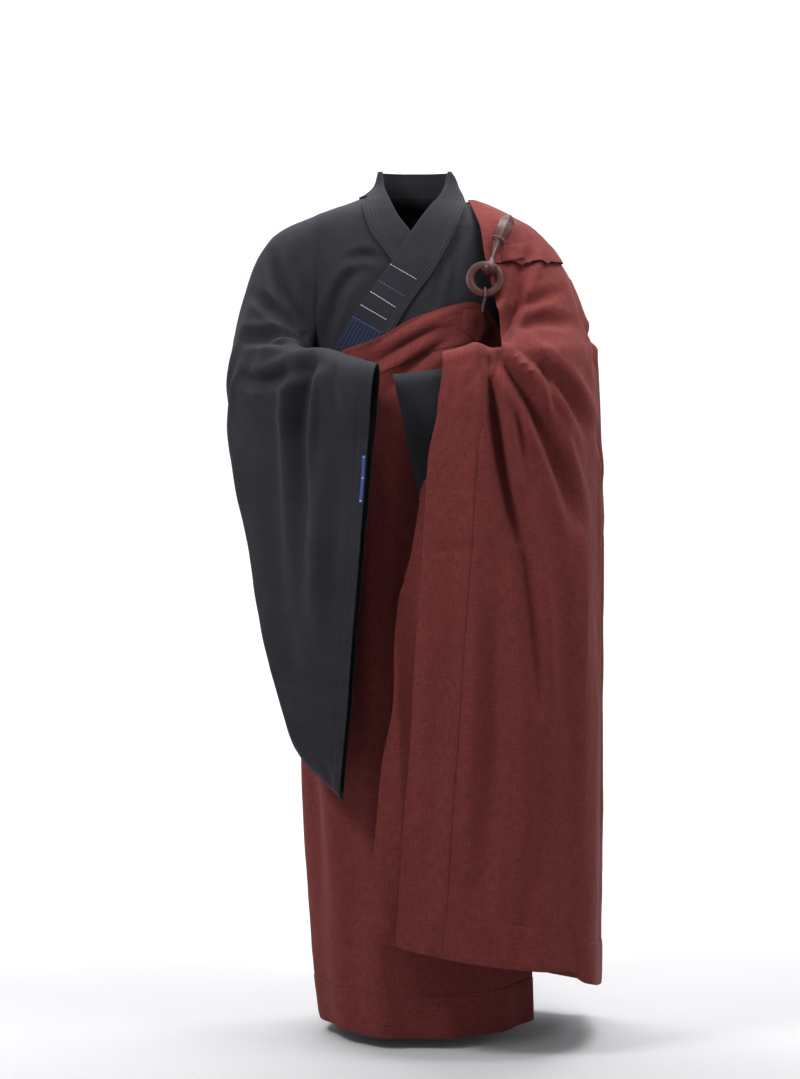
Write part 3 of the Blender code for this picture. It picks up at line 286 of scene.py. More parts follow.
SLEEVE_FOLDS = [
    ("front", -0.187, 1.296, -0.186, 1.200, -0.172, 1.128, 0.009, 0.010),
    ("front", -0.171, 1.215, -0.168, 1.170, -0.160, 1.118, 0.008, 0.009),
    ("front", -0.228, 1.250, -0.206, 1.185, -0.178, 1.128, 0.009, 0.011),
    ("front", -0.258, 1.190, -0.216, 1.158, -0.182, 1.122, 0.008, 0.010),
    ("front", -0.282, 1.118, -0.236, 1.122, -0.180, 1.116, 0.009, 0.013),
    ("front", -0.278, 1.070, -0.236, 1.052, -0.164, 1.088, 0.010, 0.015),
    ("front", -0.148, 1.082, -0.180, 1.020, -0.178, 0.810, 0.011, 0.022),
    ("front", -0.140, 0.930, -0.150, 0.790, -0.150, 0.660, 0.013, -0.011),
    ("front", -0.215, 0.980, -0.222, 0.800, -0.190, 0.590, 0.014, 0.007),
    ("front", -0.120, 1.088, -0.124, 1.050, -0.118, 1.000, 0.006, 0.004),
    ("front", -0.168, 0.485, -0.140, 0.476, -0.112, 0.468, 0.004, 0.003),
    ("front", -0.150, 0.470, -0.138, 0.450, -0.130, 0.425, 0.005, 0.003),
    ("back", -0.230, 1.230, -0.240, 1.100, -0.225, 0.900, 0.013, 0.011),
    ("back", -0.180, 1.150, -0.190, 0.900, -0.170, 0.650, 0.013, 0.010),
    ("back", -0.250, 1.050, -0.215, 0.960, -0.200, 0.800, 0.010, 0.007),
    ("right", -0.080, 1.100, -0.040, 1.040, 0.000, 0.920, 0.010, 0.007),
]

# Sleeve rings, as in the solids
SLEEVE_COLUMNS = (
    "inner_x", "inner_y", "inner_h", "outer_x", "outer_y", "outer_h", "arm_place", "arm", "flat",
)
ARMHOLE = 0.155
ARMPIT = 1.075
ARMHOLE_ROWS = 61
NEARLY = 1e-6
RIGHT_SLEEVE = [
    (-0.177, -0.030, 1.072, -0.230, 0.004, 1.278, 0.50, 0.064, 0.050),
    (-0.188, -0.072, 1.086, -0.267, 0.010, 1.196, 0.50, 0.060, 0.048),
    (-0.181, -0.122, 1.098, -0.287, 0.010, 1.068, 0.50, 0.054, 0.046),
    (-0.161, -0.165, 1.106, -0.280, 0.000, 0.940, 0.36, 0.048, 0.036),
    (-0.136, -0.195, 1.104, -0.254, -0.030, 0.790, 0.22, 0.044, 0.030),
    (-0.110, -0.218, 1.098, -0.225, -0.070, 0.630, 0.13, 0.040, 0.025),
    (-0.083, -0.237, 1.089, -0.186, -0.120, 0.474, 0.09, 0.035, 0.021),
    (-0.058, -0.252, 1.079, -0.114, -0.190, 0.404, 0.07, 0.029, 0.017),
]
LEFT_SLEEVE = [
    (0.176, -0.020, 1.066, 0.190, 0.003, 1.258, 0.50, 0.052, 0.042),
    (0.186, -0.055, 1.066, 0.224, 0.006, 1.180, 0.50, 0.048, 0.038),
    (0.184, -0.098, 1.066, 0.248, 0.004, 1.060, 0.50, 0.042, 0.034),
    (0.164, -0.145, 1.068, 0.246, -0.012, 0.950, 0.36, 0.036, 0.024),
    (0.124, -0.182, 1.070, 0.232, -0.060, 0.830, 0.22, 0.030, 0.015),
    (0.070, -0.200, 1.072, 0.202, -0.125, 0.690, 0.13, 0.027, 0.010),
    (0.018, -0.205, 1.070, 0.146, -0.176, 0.600, 0.09, 0.024, 0.009),
    (-0.034, -0.206, 1.064, 0.072, -0.188, 0.560, 0.08, 0.021, 0.009),
]
ARM_WIDTH = 0.075
ARM_TURN, ARM_TURN_FALL, CUFF_TURN, CUFF_TURN_FROM = 2.2, 0.8, 1.3, 5
SLEEVE_FREE_FROM = 0.13

# Collar bands in the front: across and height of the inner edge, then of the outer edge
OVER_BAND = [
    (0.0490, 1.381, 0.0560, 1.370),
    (0.0440, 1.358, 0.0690, 1.342),
    (0.0340, 1.337, 0.0760, 1.322),
    (0.0160, 1.314, 0.0680, 1.300),
    (-0.0110, 1.277, 0.0480, 1.256),
    (-0.0350, 1.239, 0.0265, 1.220),
    (-0.0580, 1.207, 0.0030, 1.188),
    (-0.0840, 1.170, -0.0220, 1.150),
    (-0.1030, 1.141, -0.0400, 1.118),
    (-0.1210, 1.106, -0.0600, 1.083),
]
UNDER_BAND = [
    (-0.0500, 1.381, -0.0560, 1.368),
    (-0.0480, 1.360, -0.0740, 1.342),
    (-0.0400, 1.338, -0.0820, 1.325),
    (-0.0270, 1.312, -0.0700, 1.287),
    (-0.0110, 1.291, -0.0460, 1.254),
    (0.0100, 1.262, -0.0280, 1.226),
]
OVERLAP_BLEND = 0.10
NECK_LOW = {"left": 1.312, "right": 1.325}
OVERLAPS = {"left": 126.0, "right": 66.0}
BAND_LIFT = 0.0018
BAND_INNER_LIFT, BAND_THREAD_SUNK = 0.0002, 0.0004
QUILT_DEPTH, QUILT_WIDTH = 0.0005, 0.0011
BAND_EDGE_DEPTH, BAND_EDGE_WIDTH = 0.0009, 0.0012
BACK_COLLAR_TOP, BACK_SHELL_LOW, PANEL_TOP = 1.383, 1.3400, 1.3470
COLLAR_BACK_LIFT, COLLAR_BACK_WALL = 0.0004, 0.0027
COLLAR_END_SHARE, COLLAR_END_RISE, COLLAR_END_TUCK = 0.20, 0.008, 0.0015
SHOULDER_LAP = 2.0
BAND_COLUMNS, OVER_ROWS, UNDER_ROWS = 72, 190, 130
UNDER_SEWING = (0.003, 0.009, 0.015, 0.021)
OVER_SEWING = (0.003, 0.009, 0.015)

# What is sewn on the over band: places along it by row of its table, shares across it
CROSS_LINES = {
    "columns": ("inner", "outer", "reach", "thread"),
    "rows": [
        (5.15, 5.45, 0.78, "white_thread"),
        (5.95, 6.22, 0.78, "blue_thread"),
        (6.40, 6.68, 0.78, "white_thread"),
        (6.95, 7.24, 0.78, "white_thread"),
        (7.55, 7.86, 0.80, "blue_thread"),
    ],
}
PATCH_LINE = ((3.95, 4.25, 4.55, 4.40, 4.25, 4.10), (0.04, 0.25, 0.48, 0.56, 0.66, 0.74))
GUARD_START = {"inner": 7.60, "outer": 7.91}
GUARD_REACH = (0.03, 0.80)
RIB_LOW, RIB_RISE, RIB_ROUNDING = 0.0004, 0.0006, 0.7
GUARD_STRIPES, GUARD_STEPS = 9, 8

# The right cuff: its hem, and the blue ribbon at its near edge
CUFF_HEM = 0.020
CUFF_SEAM_DEPTH, CUFF_SEAM_WIDTH = 0.0009, 0.0020
RIBBON_TOP, RIBBON_LOW = 0.943, 0.870
RIBBON_EDGE, RIBBON_WIDTH = 0.0015, 0.0055
RIBBON_LIFT, RIBBON_WALL = 0.0004, 0.0010
TACK_LIFT, TACK_ROWS = 0.0016, (1, 12, 24)

# Clasp
RING_OUTER, RING_HOLE, RING_THICK = 0.060, 0.032, 0.008
RING_CENTRE = (0.108, -0.1510, 1.210)
RING_TILT = 20
RING_FLATNESS, RING_EASE, RING_DOME = 0.55, 0.70, 0.10
KNOB_RADIUS = 0.0125
KNOB_CENTRE = (0.1150, -0.1618, 1.2266)
HOOK_SECTIONS = {
    "columns": ("across", "depth", "height", "half_width", "half_thick"),
    "rows": [
        (0.1170, -0.1592, 1.2330, 0.0070, 0.0070),
        (0.1195, -0.1515, 1.2430, 0.0038, 0.0038),
        (0.1235, -0.1425, 1.2560, 0.0046, 0.0038),
        (0.1300, -0.1300, 1.2720, 0.0080, 0.0042),
        (0.1375, -0.1175, 1.2880, 0.0108, 0.0044),
        (0.1440, -0.0985, 1.3010, 0.0118, 0.0040),
        (0.1480, -0.0905, 1.3090, 0.0070, 0.0028),
        (0.1495, -0.0875, 1.3120, 0.0020, 0.0015),
    ],
}
PADDLE_RIDGE, PADDLE_FROM = 0.75, (2.0, 3.2)
KNOB_FACETS, KNOB_FACET_DEPTH = 8, 0.02
KNOB_RINGS, KNOB_SIDES = 33, 48
LOOP_CORD = 0.0015
PLY_LEAST, PLY_SWELL, PLY_TWIST = 0.86, 0.16, 0.55
RING_LOOP_TOWARDS = (-0.10, 1.50, -1.00)
RING_LOOP_RADIUS = 0.0096
RING_LOOP_TURN = 115
RING_LOOP_SLACK = 0.0013
RING_LOOP_END = [(0.0440, 0.0026), (0.0452, 0.0), (0.0440, -0.0026)]
HOOK_LOOP = {
    "centre": (0.1300, -0.1300, 1.2720),
    "facing": (0.42, 0.60, 0.80),
    "half_width": 0.0108,
    "front": 0.0066,
    "back": 0.0090,
}

# Tabs that carry the clasp, seen from the front: across and height
RING_TAB = {
    "top": [(0.0760, 1.1640), (0.1040, 1.1600)],
    "low": [(0.0720, 1.1340), (0.0860, 1.1215), (0.0980, 1.1125), (0.1110, 1.1220), (0.1200, 1.1300)],
}
HOOK_TAB = {
    "top": [(0.1320, 1.2620), (0.1760, 1.2690)],
    "low": [(0.1350, 1.2370), (0.1530, 1.2395), (0.1700, 1.2430)],
}
TAB_THICK, TAB_LIFT, TAB_SUNK, TAB_EDGE = 0.0026, 0.0006, 0.0006, 0.6
TAB_THREAD_SUNK = 0.0005
TAB_SMOOTHING = 6
IN_FRONT = -0.6

# The photo's view: the camera's place, its turn, and its lens
CAMERA_BACK = 4.6
CAMERA_HEIGHT = 1.125
CAMERA_TILT = 4.09
CAMERA_YAW = 0.30
CAMERA_LENS = 63.7
CAMERA_SENSOR = 24.0


def smooth(value, low, high):
    """0 below low, 1 above high, with an even slope between."""
    t = np.clip((np.asarray(value, float) - low) / (high - low), 0, 1)
    return t * t * (3 - 2 * t)


def falling(value, high, low):
    """0 above high, 1 below low, with an even slope between."""
    return smooth(-np.asarray(value, float), -high, -low)


def unit(vectors):
    """The same vectors at length 1."""
    return vectors / np.maximum(np.linalg.norm(vectors, axis=-1, keepdims=True), 1e-12)


def between(a, b, c, d, t):
    """A point of a smooth curve through four, t of the way from the second to the third."""
    first, second, third = c - a, 2 * a - 5 * b + 4 * c - d, 3 * b - a - 3 * c + d
    return 0.5 * (2 * b + first * t + second * t**2 + third * t**3)


def read_at(place, along, values):
    """Rows of values read off at places along a line."""
    return np.stack([np.interp(place, along, one) for one in values.T], -1)


def through(places, values, wanted):
    """A smooth curve through the rows of a table that doesn't overshoot them."""
    step = np.diff(places)
    rise = np.diff(values) / step
    slope = np.zeros_like(values)
    before, after = rise[:-1], rise[1:]
    same = before * after > 0
    slope[1:-1][same] = 2 * before[same] * after[same] / (before[same] + after[same])
    slope[0], slope[-1] = rise[0], rise[-1]
    wanted = np.clip(np.asarray(wanted, float), places[0], places[-1])
    i = np.clip(np.searchsorted(places, wanted) - 1, 0, len(step) - 1)
    t = (wanted - places[i]) / step[i]
    start = (1 + 2 * t) * (1 - t) ** 2 * values[i] + t * (1 - t) ** 2 * step[i] * slope[i]
    end = t * t * (3 - 2 * t) * values[i + 1] + t * t * (t - 1) * step[i] * slope[i + 1]
    return start + end


def column(table, name, place):
    """A named column of a table at a place along its first column."""
    rows = np.array(table["rows"], float)
    return through(rows[:, 0], rows[:, table["columns"].index(name)], place)


def oval(around, right, left, front, back, power):
    """A point of an oval section, from its half widths and depths."""
    turn = np.radians(around)
    c, s = np.cos(turn), np.sin(turn)
    half = np.where(c < 0, right, left)
    deep = np.where(s > 0, front, back)
    x = half * np.sign(c) * np.abs(c) ** (2 / power)
    y = -deep * np.sign(s) * np.abs(s) ** (2 / power)
    return x, y


def oval_base(table, power, around, height):
    """A point of the surface whose oval sections are in a table."""
    sides = [column(table, name, height) for name in table["columns"][1:]]
    x, y = oval(around, *sides, power)
    return np.stack([x, y, np.broadcast_to(height, x.shape)], -1)


def body_base(around, height):
    return oval_base(BODY_SECTIONS, BODY_POWER, around, height)


def wrap_base(around, height):
    return oval_base(WRAP_SECTIONS, WRAP_POWER, around, height)


def mantle_base(around, height):
    sizes = {n: column(MANTLE_SECTIONS, n, height) for n in MANTLE_SECTIONS["columns"][1:]}
    x, y = oval(
        around, sizes["spread"], sizes["outer"], sizes["front"], sizes["back"], MANTLE_POWER
    )
    return np.stack(
        [x + sizes["centre"], y + MANTLE_BACK_OF_CENTRE, np.broadcast_to(height, x.shape)], -1
    )


def kasaya_base(around, height):
    """The kasaya's inner face: the wrap passes into the mantle behind the left shoulder."""
    share = smooth(around, *MANTLE_TAKES_OVER)[..., None]
    return (1 - share) * wrap_base(around, height) + share * mantle_base(around, height)


def normal_of(base, around, height):
    """The outward normal of a surface given by around and height."""
    turn, rise = 0.6, 0.0015
    low, high = np.maximum(height - rise, 0.001), height + rise
    along = base(around + turn, height) - base(around - turn, height)
    up = base(around, high) - base(around, low)
    return unit(np.cross(up, along))


VIEWED_FROM = {
    "front": (np.array([0, -1, 0]), 0),
    "back": (np.array([0, 1, 0]), 0),
    "left": (np.array([1, 0, 0]), 1),
    "right": (np.array([-1, 0, 0]), 1),
}

# A fold's profile: a soft valley, and the cloth's swell on both sides of it
FOLD_FALL, FOLD_POWER, FOLD_SOFT = 1.15, 1.35, 0.3
FOLD_SWELL, FOLD_SWELL_AT, FOLD_SWELL_WIDTH = 0.34, 2.0, 0.8
FOLD_STEPS = 13
FOLD_TURNED_AWAY, FOLD_TURNED_TO = 0.15, 0.55


def fold_depth(points, normals, folds):
    """How far the folds push each point inwards."""
    depth = np.zeros(points.shape[:-1])
    for row in folds:
        fold = dict(zip(FOLD_COLUMNS, row))
        facing, axis = VIEWED_FROM[fold["side"]]
        t = np.linspace(0, 1, FOLD_STEPS)[:, None]
        start, bend, end = (
            np.array([fold[name], fold[name + "_h"]]) for name in ("start", "bend", "end")
        )
        control = 2 * bend - (start + end) / 2
        line = (1 - t) ** 2 * start + 2 * t * (1 - t) * control + t * t * end
        reach = 4 * fold["width"]
        flat = points[..., [axis, 2]]
        close = ((flat > line.min(0) - reach) & (flat < line.max(0) + reach)).all(-1)
        close &= normals @ facing > FOLD_TURNED_AWAY
        if not close.any():
            continue
        near_points = flat[close]
        nearest = np.full(len(near_points), np.inf)
        place = np.zeros(len(near_points))
        for k in range(len(line) - 1):
            run = line[k + 1] - line[k]
            s = np.clip(((near_points - line[k]) @ run) / (run @ run), 0, 1)
            away = np.linalg.norm(near_points - line[k] - s[..., None] * run, axis=-1)
            closer = away < nearest
            nearest = np.where(closer, away, nearest)
            place = np.where(closer, (k + s) / (len(line) - 1), place)
        taper = np.sin(np.pi * np.clip(place, 0.02, 0.98)) ** 0.5
        shown = smooth(normals[close] @ facing, FOLD_TURNED_AWAY, FOLD_TURNED_TO)
        q = nearest / fold["width"]
        crease = np.exp(-FOLD_FALL * (np.sqrt(q * q + FOLD_SOFT**2) - FOLD_SOFT) ** FOLD_POWER)
        swell = np.exp(-(((q - FOLD_SWELL_AT) / FOLD_SWELL_WIDTH) ** 2))
        depth[close] += fold["depth"] * taper * shown * (crease - FOLD_SWELL * swell)
    return depth


def flute(around, height):
    """Soft upright waves that grow towards the kasaya's hem."""
    strength = FLUTE_DEPTH * falling(height, *FLUTE_HEIGHTS)
    slow = np.sin(np.radians(around * FLUTE_GROUPS + FLUTE_SHIFT))
    return strength * np.sin(np.radians(around * FLUTE_WAVES)) * slow


def kasaya_plain(around, height):
    out = normal_of(kasaya_base, around, height)
    return kasaya_base(around, height) + out * flute(around, height)[..., None]


def lattice(cells, seed):
    """A fixed value between -1 and 1 for each whole cell."""
    x, y, z = (cells[..., k].astype(np.int64) for k in range(3))
    mixed = (x * 73856093) ^ (y * 19349663) ^ (z * 83492791) ^ (seed * 2654435761)
    mixed = ((mixed ^ (mixed >> 13)) * 1274126177) & 0xFFFFFFFF
    mixed = (mixed ^ (mixed >> 16)) & 0xFFFF
    return mixed / 32767.5 - 1


def soft_noise(points, scale, seed):
    """Smooth uneven waves between -1 and 1; scale is their size along each axis."""
    placed = points / np.array(scale, float)
    cell = np.floor(placed)
    part = placed - cell
    part = part * part * (3 - 2 * part)
    total = np.zeros(points.shape[:-1])
    for corner in np.ndindex(2, 2, 2):
        share = np.prod(np.where(np.array(corner), part, 1 - part), axis=-1)
        total += share * lattice(cell + np.array(corner), seed)
    return total


def creases(points, layers):
    """Fine creases: the sum of uneven waves of several sizes."""
    return sum(depth * soft_noise(points, size, seed) for depth, size, seed in layers)


def grid_normals(points, tube=False):
    """Normals of a grid of points whose columns run around and whose rows run down."""
    if tube:
        across = np.roll(points, -1, 1) - np.roll(points, 1, 1)
    else:
        across = np.gradient(points, axis=1)
    return unit(np.cross(across, np.gradient(points, axis=0)))


def pushed(points, depth, tube=False):
    """A grid pushed inwards along its normals."""
    return points - grid_normals(points, tube) * depth[..., None]


def at_across(across, height):
    """The around angle in the flat front where the mantle's face is at a place across."""
    centre = column(MANTLE_SECTIONS, "centre", height)
    spread = column(MANTLE_SECTIONS, "spread", height)
    c = np.clip((centre - across) / spread, 0, 1) ** (MANTLE_POWER / 2)
    return FRONT_AGAIN + np.degrees(np.arcsin(c))


def body_angle(across, height):
    """The around angle on the under robe's front at a place across."""
    right = column(BODY_SECTIONS, "right", height)
    left = column(BODY_SECTIONS, "left", height)
    share = across / np.where(across < 0, right, left)
    c = np.sign(share) * np.clip(np.abs(share), 0, 1) ** (BODY_POWER / 2)
    return np.degrees(np.arccos(c))


def kasaya_face(around, height, folds):
    """The kasaya's inner face with its folds and fine, uneven creases."""
    points = kasaya_plain(around, height)
    normals = grid_normals(points)
    depth = fold_depth(points, normals, folds)
    depth += creases(points, KASAYA_CREASES[:1]) * falling(height, *CREASES_SET_IN)
    depth += creases(points, KASAYA_CREASES[1:])
    return points - normals * depth[..., None]


# Materials


def add_node(tree, kind, **values):
    """A shader node with its settings and its sockets' values."""
    made = tree.nodes.new(kind)
    for name, value in values.items():
        socket = name.replace("_", " ")
        if socket in made.inputs:
            made.inputs[socket].default_value = value
        else:
            setattr(made, name, value)
    return made


def new_material(name, **values):
    """A material whose shader takes these plain values, with its tree to build on."""
    made = bpy.data.materials.new(name)
    made.use_nodes = True
    shader = made.node_tree.nodes["Principled BSDF"]
    for socket, value in values.items():
        shader.inputs[socket.replace("_", " ")].default_value = value
    return made, made.node_tree, shader


def streaks(tree, place, scale, seed, detail=2.0):
    """Uneven streaks, with their size along each axis in waves per metre."""
    scaled = add_node(tree, "ShaderNodeMapping", Scale=scale, Location=(seed, 0.7 * seed, 0.3 * seed))
    noise = add_node(tree, "ShaderNodeTexNoise", Scale=1.0, Detail=detail, Roughness=0.6)
    tree.links.new(place, scaled.inputs["Vector"])
    tree.links.new(scaled.outputs["Vector"], noise.inputs["Vector"])
    return noise.outputs["Fac"]


def blended(tree, first, second, share):
    """Two values mixed in a fixed share."""
    mix = add_node(tree, "ShaderNodeMix", data_type="FLOAT")
    mix.inputs[0].default_value = share
    tree.links.new(first, mix.inputs[2])
    tree.links.new(second, mix.inputs[3])
    return mix.outputs[0]


def spread_out(tree, value, low, high):
    """A value between low and high taken to the whole of 0 to 1."""
    spread = add_node(tree, "ShaderNodeMapRange", From_Min=low, From_Max=high)
    tree.links.new(value, spread.inputs["Value"])
    return spread.outputs["Result"]


def coloured(tree, shader, value, dark, light):
    """A colour between dark and light, led into the shader."""
    mix = add_node(tree, "ShaderNodeMix", data_type="RGBA")
    mix.inputs[6].default_value = (*dark, 1)
    mix.inputs[7].default_value = (*light, 1)
    tree.links.new(value, mix.inputs[0])
    tree.links.new(mix.outputs[2], shader.inputs["Base Color"])


def raised(tree, shader, value, strength, distance):
    """Relief from a value, led into the shader."""
    bump = add_node(tree, "ShaderNodeBump", Strength=strength, Distance=distance)
    tree.links.new(value, bump.inputs["Height"])
    tree.links.new(bump.outputs["Normal"], shader.inputs["Normal"])


CLOTH_LOOKS = {
    "kasaya_cloth": {
        "dark": (0.062, 0.0105, 0.0098), "light": (0.160, 0.0345, 0.0315), "roughness": 0.92,
        "sheen": 0.06, "sheen_colour": (0.80, 0.40, 0.36), "thread": 850.0, "slub": 16.0,
        "patch": 8.0, "patchiness": 0.14, "relief": 0.60,
    },
    "haiqing_cloth": {
        "dark": (0.0080, 0.0078, 0.0098), "light": (0.0230, 0.0224, 0.0285), "roughness": 0.80,
        "sheen": 0.03, "sheen_colour": (0.70, 0.72, 0.85), "thread": 1300.0, "slub": 7.0,
        "patch": 12.0, "patchiness": 0.35, "relief": 0.40,
    },
    "guard_cloth": {
        "dark": (0.006, 0.012, 0.036), "light": (0.014, 0.028, 0.080), "roughness": 0.75,
        "sheen": 0.15, "sheen_colour": (0.50, 0.60, 0.90), "thread": 1500.0, "slub": 5.0,
        "patch": 20.0, "patchiness": 0.20, "relief": 0.40,
    },
}


def cloth_material(name, look):
    """A woven cloth in the cloth's own metres: threads both ways, slubs, and uneven dye."""
    made, tree, shader = new_material(
        name,
        Roughness=look["roughness"],
        Sheen_Weight=look["sheen"],
        Sheen_Roughness=0.5,
        Sheen_Tint=(*look["sheen_colour"], 1),
        Specular_IOR_Level=0.12,
    )
    place = add_node(tree, "ShaderNodeUVMap", uv_map="cloth").outputs["UV"]
    fine, slow = look["thread"], look["thread"] / look["slub"]
    warp = streaks(tree, place, (fine, slow, 1), 3.1)
    weft = streaks(tree, place, (slow, fine, 1), 9.7)
    weave = blended(tree, warp, weft, 0.55)
    dye = streaks(tree, place, (look["patch"], 0.6 * look["patch"], 1), 21.0, detail=4.0)
    tone = blended(
        tree, spread_out(tree, weave, 0.32, 0.68), spread_out(tree, dye, 0.3, 0.7), look["patchiness"]
    )
    coloured(tree, shader, tone, look["dark"], look["light"])
    raised(tree, shader, weave, look["relief"], 0.0006)
    return made


def thread_material(name, colour):
    """Sewing thread with its twist."""
    made, tree, shader = new_material(name, Roughness=0.7, Sheen_Weight=0.2)
    place = add_node(tree, "ShaderNodeTexCoord").outputs["Object"]
    twist = streaks(tree, place, (2500, 2500, 2500), 5.0)
    coloured(tree, shader, twist, tuple(0.7 * c for c in colour), colour)
    raised(tree, shader, twist, 0.3, 0.0002)
    return made


def cord_material(name):
    """Dark red cord; its plies are in the mesh and their fibres here."""
    made, tree, shader = new_material(name, Roughness=0.75, Sheen_Weight=0.3)
    place = add_node(tree, "ShaderNodeTexCoord").outputs["Object"]
    fibres = streaks(tree, place, (1800, 1800, 700), 8.0)
    coloured(tree, shader, fibres, (0.030, 0.006, 0.006), (0.085, 0.020, 0.018))
    raised(tree, shader, fibres, 0.4, 0.0002)
    return made


def wood_material(name):
    """Dark red-brown polished hardwood with long grain and open pores, glossier where its tone is lighter.
    """
    made, tree, shader = new_material(name, Specular_IOR_Level=0.30)
    place = add_node(tree, "ShaderNodeTexCoord").outputs["Object"]
    grain = streaks(tree, place, (520, 380, 60), 2.0, detail=5.0)
    pores = streaks(tree, place, (1900, 1500, 160), 6.0)
    tone = blended(tree, spread_out(tree, grain, 0.3, 0.7), spread_out(tree, pores, 0.35, 0.6), 0.3)
    coloured(tree, shader, tone, (0.014, 0.0028, 0.0024), (0.060, 0.0125, 0.0095))
    gloss = add_node(tree, "ShaderNodeMapRange", To_Min=0.52, To_Max=0.36)
    tree.links.new(tone, gloss.inputs["Value"])
    tree.links.new(gloss.outputs["Result"], shader.inputs["Roughness"])
    raised(tree, shader, pores, 0.12, 0.0003)
    return made


THREADS = {
    "white_thread": (0.62, 0.66, 0.74),
    "blue_thread": (0.030, 0.085, 0.330),
    "ribbon_blue": (0.010, 0.042, 0.200),
    "black_thread": (0.011, 0.011, 0.014),
    "russet_thread": (0.060, 0.014, 0.013),
}
MATERIALS = {}


def material(name):
    """The material of that name, made when it is first asked for."""
    if name not in MATERIALS:
        if name in CLOTH_LOOKS:
            MATERIALS[name] = cloth_material(name, CLOTH_LOOKS[name])
        elif name in THREADS:
            MATERIALS[name] = thread_material(name, THREADS[name])
        elif name == "clasp_cord":
            MATERIALS[name] = cord_material(name)
        else:
            MATERIALS[name] = wood_material(name)
    return MATERIALS[name]


# Making pieces

SHARP_ANGLE = math.radians(62)


def lengths(points, axis):
    """The distances along each row (axis 1) or column (axis 0) of a grid, from its start."""
    steps = np.linalg.norm(np.diff(points, axis=axis), axis=-1)
    total = np.cumsum(steps, axis=axis)
    start = np.zeros_like(np.take(total, [0], axis=axis))
    return np.concatenate([start, total], axis=axis)


def add_mesh(name, points, faces, look):
    """One object from points above the floor and four-sided faces."""
    points = points - np.array([0, 0, SHOULDER_HEIGHT])
    mesh = bpy.data.meshes.new(name)
    mesh.vertices.add(len(points))
    mesh.vertices.foreach_set("co", points.astype(np.float32).ravel())
    mesh.loops.add(faces.size)
    mesh.loops.foreach_set("vertex_index", faces.astype(np.int32).ravel())
    mesh.polygons.add(len(faces))
    mesh.polygons.foreach_set("loop_start", np.arange(0, faces.size, 4, dtype=np.int32))
    mesh.update(calc_edges=True)
    mesh.shade_smooth()
    mesh.set_sharp_from_angle(angle=SHARP_ANGLE)
    mesh.materials.append(material(look))
    made = bpy.data.objects.new(name, mesh)
    bpy.context.scene.collection.objects.link(made)
    return made


def grid_faces(rows, cols, tube):
    """The faces of a grid of points, and the runs of points round its open edges."""
    number = np.arange(rows * cols).reshape(rows, cols)
    ahead = np.roll(number, -1, 1) if tube else number[:, 1:]
    here = number if tube else number[:, :-1]
    faces = np.stack([here[:-1], here[1:], ahead[1:], ahead[:-1]], -1).reshape(-1, 4)
    if tube:
        edges = [np.append(number[0], number[0, 0]), np.append(number[-1][::-1], number[-1, -1])]
    else:
        edges = [
            np.concatenate([number[0], number[1:, -1], number[-1, -2::-1], number[-2::-1, 0]])
        ]
    return faces, edges


def cloth_uv(mesh, faces, middle, tube):
    """The cloth's own metres as a UV map, with a tube's last step closed at its full girth."""
    rows, cols = middle.shape[:2]
    wide = np.concatenate([middle, middle[:, :1]], 1) if tube else middle
    u, v = lengths(wide, 1), -lengths(middle, 0)
    flat = np.stack([u[:, :cols], v], -1).reshape(-1, 2)
    corner = flat[faces % (rows * cols)]
    if tube:
        place = faces % cols
        closing = (place == cols - 1).any(1)[:, None] & (place == 0)
        girth = u[:, -1][(faces % (rows * cols)) // cols]
        corner[..., 0] = np.where(closing, girth, corner[..., 0])
    layer = mesh.uv_layers.new(name="cloth")
    layer.data.foreach_set("uv", corner.astype(np.float32).ravel())
    return wide, u, v


def placed(made, slot, nodes=()):
    """Puts a piece on its body and hides the solids that it stands for; slot is not used."""
    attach(made, "root")
    if nodes:
        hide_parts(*nodes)
    return made


def shell(name, outer, inner, look, slot, tube=False):
    """A closed thin shell between two grids of points. Gives it with its width, length and area."""
    rows, cols = outer.shape[:2]
    count = rows * cols
    face, edges = grid_faces(rows, cols, tube)
    rims = [np.stack([e[:-1], e[1:], e[1:] + count, e[:-1] + count], -1) for e in edges]
    faces = np.concatenate([face, face[:, ::-1] + count] + rims)
    made = add_mesh(name, np.concatenate([outer.reshape(-1, 3), inner.reshape(-1, 3)]), faces, look)
    middle = (outer + inner) / 2
    wide, u, v = cloth_uv(made.data, faces, middle, tube)
    across = np.diff(wide, axis=1)[:-1]
    down = np.diff(wide, axis=0)[:, :-1]
    area = float(np.linalg.norm(np.cross(across, down), axis=-1).sum())
    placed(made, slot)
    return made, (float(u[:, -1].mean()), float(-v[-1].mean())), area


def sheet(name, outer, inner, look, nodes=(), tube=False):
    """A shell in the place of the solids it stands for, which it hides."""
    made, size, area = shell(name, outer, inner, look, look, tube)
    if nodes:
        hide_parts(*nodes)
    return made


def cloth(name, points, look, nodes, outer_at=CLOTH, tube=False):
    """A cloth shell whose outer face lies outer_at beyond its grid."""
    normals = grid_normals(points, tube)
    outer = points + normals * outer_at
    return sheet(name, outer, outer - normals * SHELL, look, nodes, tube)


def from_edge(rows, cols):
    """How many steps each point of a grid is from the nearest edge."""
    i, j = np.arange(rows)[:, None], np.arange(cols)[None]
    return np.minimum(np.minimum(i, rows - 1 - i), np.minimum(j, cols - 1 - j))


def strip(name, points, nodes, lift=0.0):
    """A sewn-on strip: its panel's points moved out, with its edges turned down to the panel."""
    rows, cols = points.shape[:2]
    normals = grid_normals(points)
    edge = from_edge(rows, cols)
    low = points + normals * np.asarray(CLOTH + STRIP_LIFT + lift)[..., None]
    thick = STRIP_SHELL * (1 - STRIP_EDGE * np.exp(-edge / STRIP_EDGE_STEPS))
    outer = low + normals * thick[..., None]
    return sheet(name, outer, low, "kasaya_cloth", nodes)


